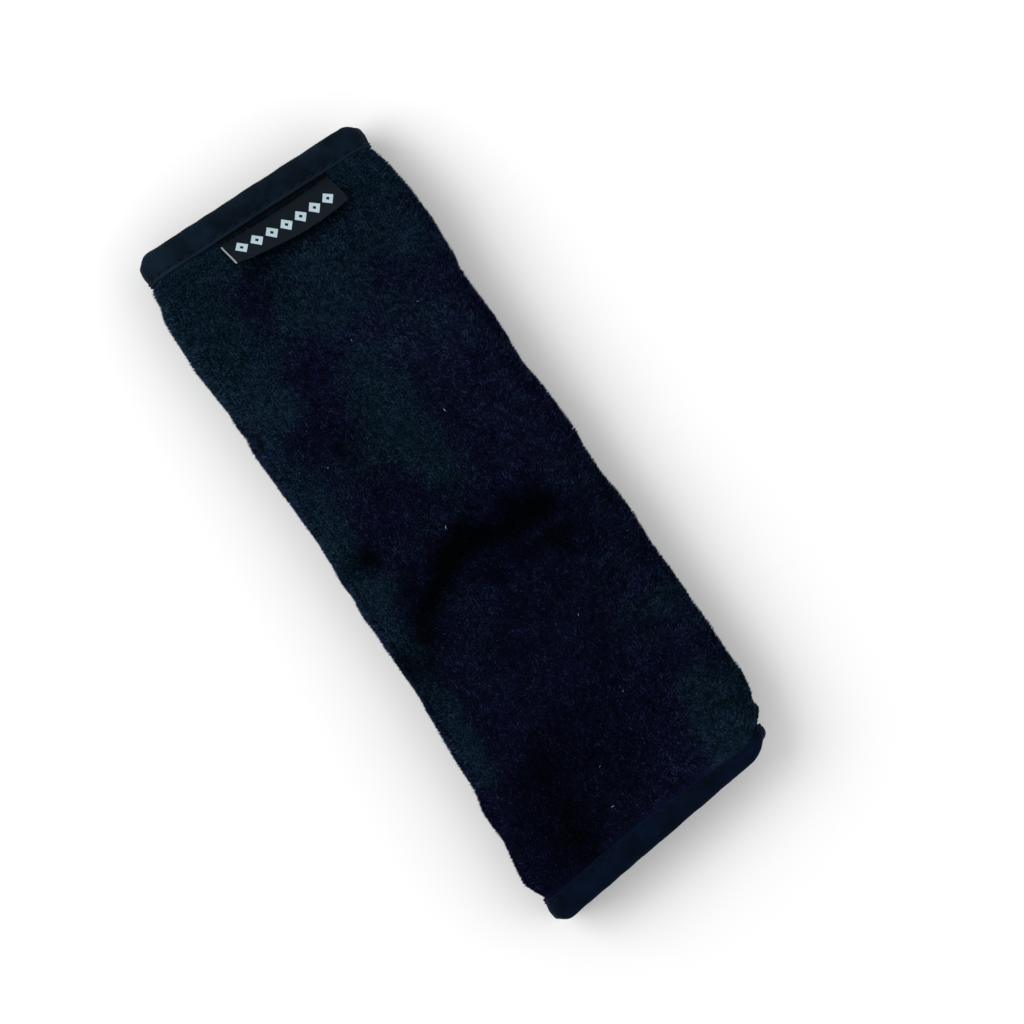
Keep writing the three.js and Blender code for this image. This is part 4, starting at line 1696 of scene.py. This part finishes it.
@dataclass
class SettledCloth:
    """Works out how the plush sits on its foam, by cloth simulation on a coarse sheet of it."""

    wrap: Wrap
    step: float = 3.0
    frames: int = 20
    scale: float = 10.0
    hold: float = 0.5
    cap: float = 0.45

    def settle(self) -> None:
        """Runs the simulation and leaves each place's stand-off, in millimetres, in the wrap.

        A sheet of the plush, ten times as large as life, is pinned along the bindings and the closure,
        and held half firmly elsewhere, as by its foam. It is made a little too large for its place and
        blown up lightly. How far each point moved along its outward direction is capped and kept.
        """
        w = self.wrap
        nu, ny = round(w.round / self.step) + 1, round(w.length / self.step) + 1
        u, y = np.linspace(0, w.round, nu), np.linspace(w.plain_end, w.label_end, ny)
        uu, yy = np.meshgrid(u, y, indexing="ij")
        p = w.parts(uu, yy)
        rest, axes = w.frames(uu, yy, p["outside"])
        index = np.arange(nu * ny).reshape(nu, ny)
        faces = np.stack([index[:-1, :-1], index[:-1, 1:], index[1:, 1:], index[1:, :-1]], -1).reshape(-1, 4)
        mesh = bpy.data.meshes.new("settling")
        mesh.from_pydata((rest.reshape(-1, 3) * self.scale).tolist(), [], faces.tolist())
        sheet = bpy.data.objects.new("settling", mesh)
        bpy.context.scene.collection.objects.link(sheet)
        held = sheet.vertex_groups.new(name="held")
        closed = (uu < 8) | (uu > w.round - 4) | (np.abs(uu - w.zones[4] - 14) < 16)
        fixed = closed | (w.from_end(yy) < w.body_starts + 0.5)
        held.add(index[fixed].tolist(), 1.0, "REPLACE")
        held.add(index[~fixed].tolist(), self.hold, "REPLACE")
        cloth = sheet.modifiers.new("settle", "CLOTH")
        settings = cloth.settings
        settings.quality = 8
        settings.mass = 0.02
        settings.tension_stiffness = settings.compression_stiffness = 12
        settings.shear_stiffness = 4
        settings.bending_stiffness = 0.08
        settings.vertex_group_mass = "held"
        settings.use_pressure = True
        settings.uniform_pressure_force = 0.3
        settings.shrink_min = -0.035
        settings.effector_weights.gravity = 0
        scene = bpy.context.scene
        for number in range(1, self.frames + 1):
            scene.frame_set(number)
        evaluated = sheet.evaluated_get(bpy.context.evaluated_depsgraph_get())
        moved = np.empty(nu * ny * 3)
        evaluated.data.vertices.foreach_get("co", moved)
        travel = (moved.reshape(nu, ny, 3) / self.scale - rest) * 1000
        out = np.einsum("ijk,ijk->ij", travel, axes[..., 2])
        log.info("cloth settled by %.2f to %.2f mm", out.min(), out.max())
        scene.frame_set(1)
        bpy.data.objects.remove(sheet)
        bpy.data.meshes.remove(mesh)
        w.settled = self.cap * np.tanh(out / self.cap)
        w.settled_step = (w.round / (nu - 1), w.length / (ny - 1))


# The scene round the pad


@dataclass
class Studio:
    """Pale floor, plain soft light, and a camera that looks straight down on the pad.

    The view's width, the aim and the distance are in metres, and right is the way the camera's right side
    points.
    """

    view_width: float = 0.2183
    aim: tuple[float, float] = (0.00909, -0.00469)
    right: tuple[float, float] = (0.83925, -0.54374)
    distance: float = 1.25
    plane: float = 0.010
    sensor: float = 36.0
    floor_half: float = 3.0
    floor_level: float = -0.0002
    sky: float = 0.6

    def camera(self) -> None:
        """Places the camera. Its lens is the sensor's width times the distance over the view's width."""
        data = bpy.data.cameras.new("camera")
        camera = bpy.data.objects.new("camera", data)
        bpy.context.scene.collection.objects.link(camera)
        data.sensor_width = self.sensor
        data.lens = self.sensor * self.distance / self.view_width
        rx, ry = self.right
        camera.matrix_world = Matrix((
            (rx, -ry, 0, self.aim[0]),
            (ry, rx, 0, self.aim[1]),
            (0, 0, 1, self.plane + self.distance),
            (0, 0, 0, 1),
        ))
        bpy.context.scene.camera = camera

    def lamp(self, name: str, place: tuple[float, float, float], size: float, power: float) -> None:
        """Adds a square lamp that faces the pad.

        Args:
            name: the lamp's name.
            place: where it hangs, in metres.
            size: its side.
            power: its power in watts.
        """
        data = bpy.data.lights.new(name, "AREA")
        data.size, data.energy = size, power
        lamp = bpy.data.objects.new(name, data)
        bpy.context.scene.collection.objects.link(lamp)
        lamp.location = place
        lamp.rotation_mode = "QUATERNION"
        lamp.rotation_quaternion = (-Vector(place)).to_track_quat("-Z", "Y")

    def build(self) -> None:
        """Adds floor, lamps, world and camera."""
        self.camera()
        corners = np.array([[-1, -1, 0], [1, -1, 0], [1, 1, 0], [-1, 1, 0]]) * self.floor_half
        corners[:, 2] = self.floor_level
        floor = new_piece("floor", corners, np.array([[0, 1, 2, 3]]))
        floor.data.materials.append(FloorFinish().material())
        self.lamp("key", (-0.6, 0.42, 0.8), 0.8, 7.0)
        self.lamp("fill", (0.7, -0.3, 0.8), 1.0, 2.6)
        world = bpy.data.worlds.new("studio")
        bpy.context.scene.world = world
        world.use_nodes = True
        tree = world.node_tree
        sky = tree.nodes["Background"]
        sky.inputs["Color"].default_value = (1, 1, 1, 1)
        rays = tree.nodes.new("ShaderNodeLightPath")
        shown = rays.outputs["Is Camera Ray"]
        for other in ("Is Glossy Ray", "Is Transmission Ray"):
            either = tree.nodes.new("ShaderNodeMath")
            either.operation = "MAXIMUM"
            tree.links.new(shown, either.inputs[0])
            tree.links.new(rays.outputs[other], either.inputs[1])
            shown = either.outputs[0]
        strength = tree.nodes.new("ShaderNodeMapRange")
        strength.inputs["To Min"].default_value = self.sky
        strength.inputs["To Max"].default_value = 1.0
        tree.links.new(shown, strength.inputs["Value"])
        tree.links.new(strength.outputs["Result"], sky.inputs["Strength"])
        bpy.context.scene.view_settings.view_transform = "Standard"


def main() -> None:
    """Builds the pad's pieces in order, then the scene round it."""
    logging.basicConfig(level=logging.INFO, format="%(message)s")
    wrap = Wrap()
    Studio().build()
    SettledCloth(wrap).settle()
    upper_knit = KnitFinish("upper_binding_knit", linear(4, 11, 18), linear(12, 25, 36))
    lower_knit = KnitFinish("lower_binding_knit", linear(1, 6, 18), linear(4, 15, 33))
    upper_thread = ThreadFinish("upper_thread", linear(5, 11, 17), linear(22, 36, 48))
    lower_thread = ThreadFinish("lower_thread", linear(2, 8, 20), linear(5, 15, 32))
    PlushCover(wrap).build()
    InnerLayers(wrap).build()
    EndBinding(wrap, End.LABEL, upper_knit, upper_thread).build()
    EndBinding(wrap, End.PLAIN, lower_knit, lower_thread).build()
    FoldedLabel(wrap).build()
    ClosureTapes(wrap).build()
    Lint(wrap).build()


if __name__ == "__main__":
    main()
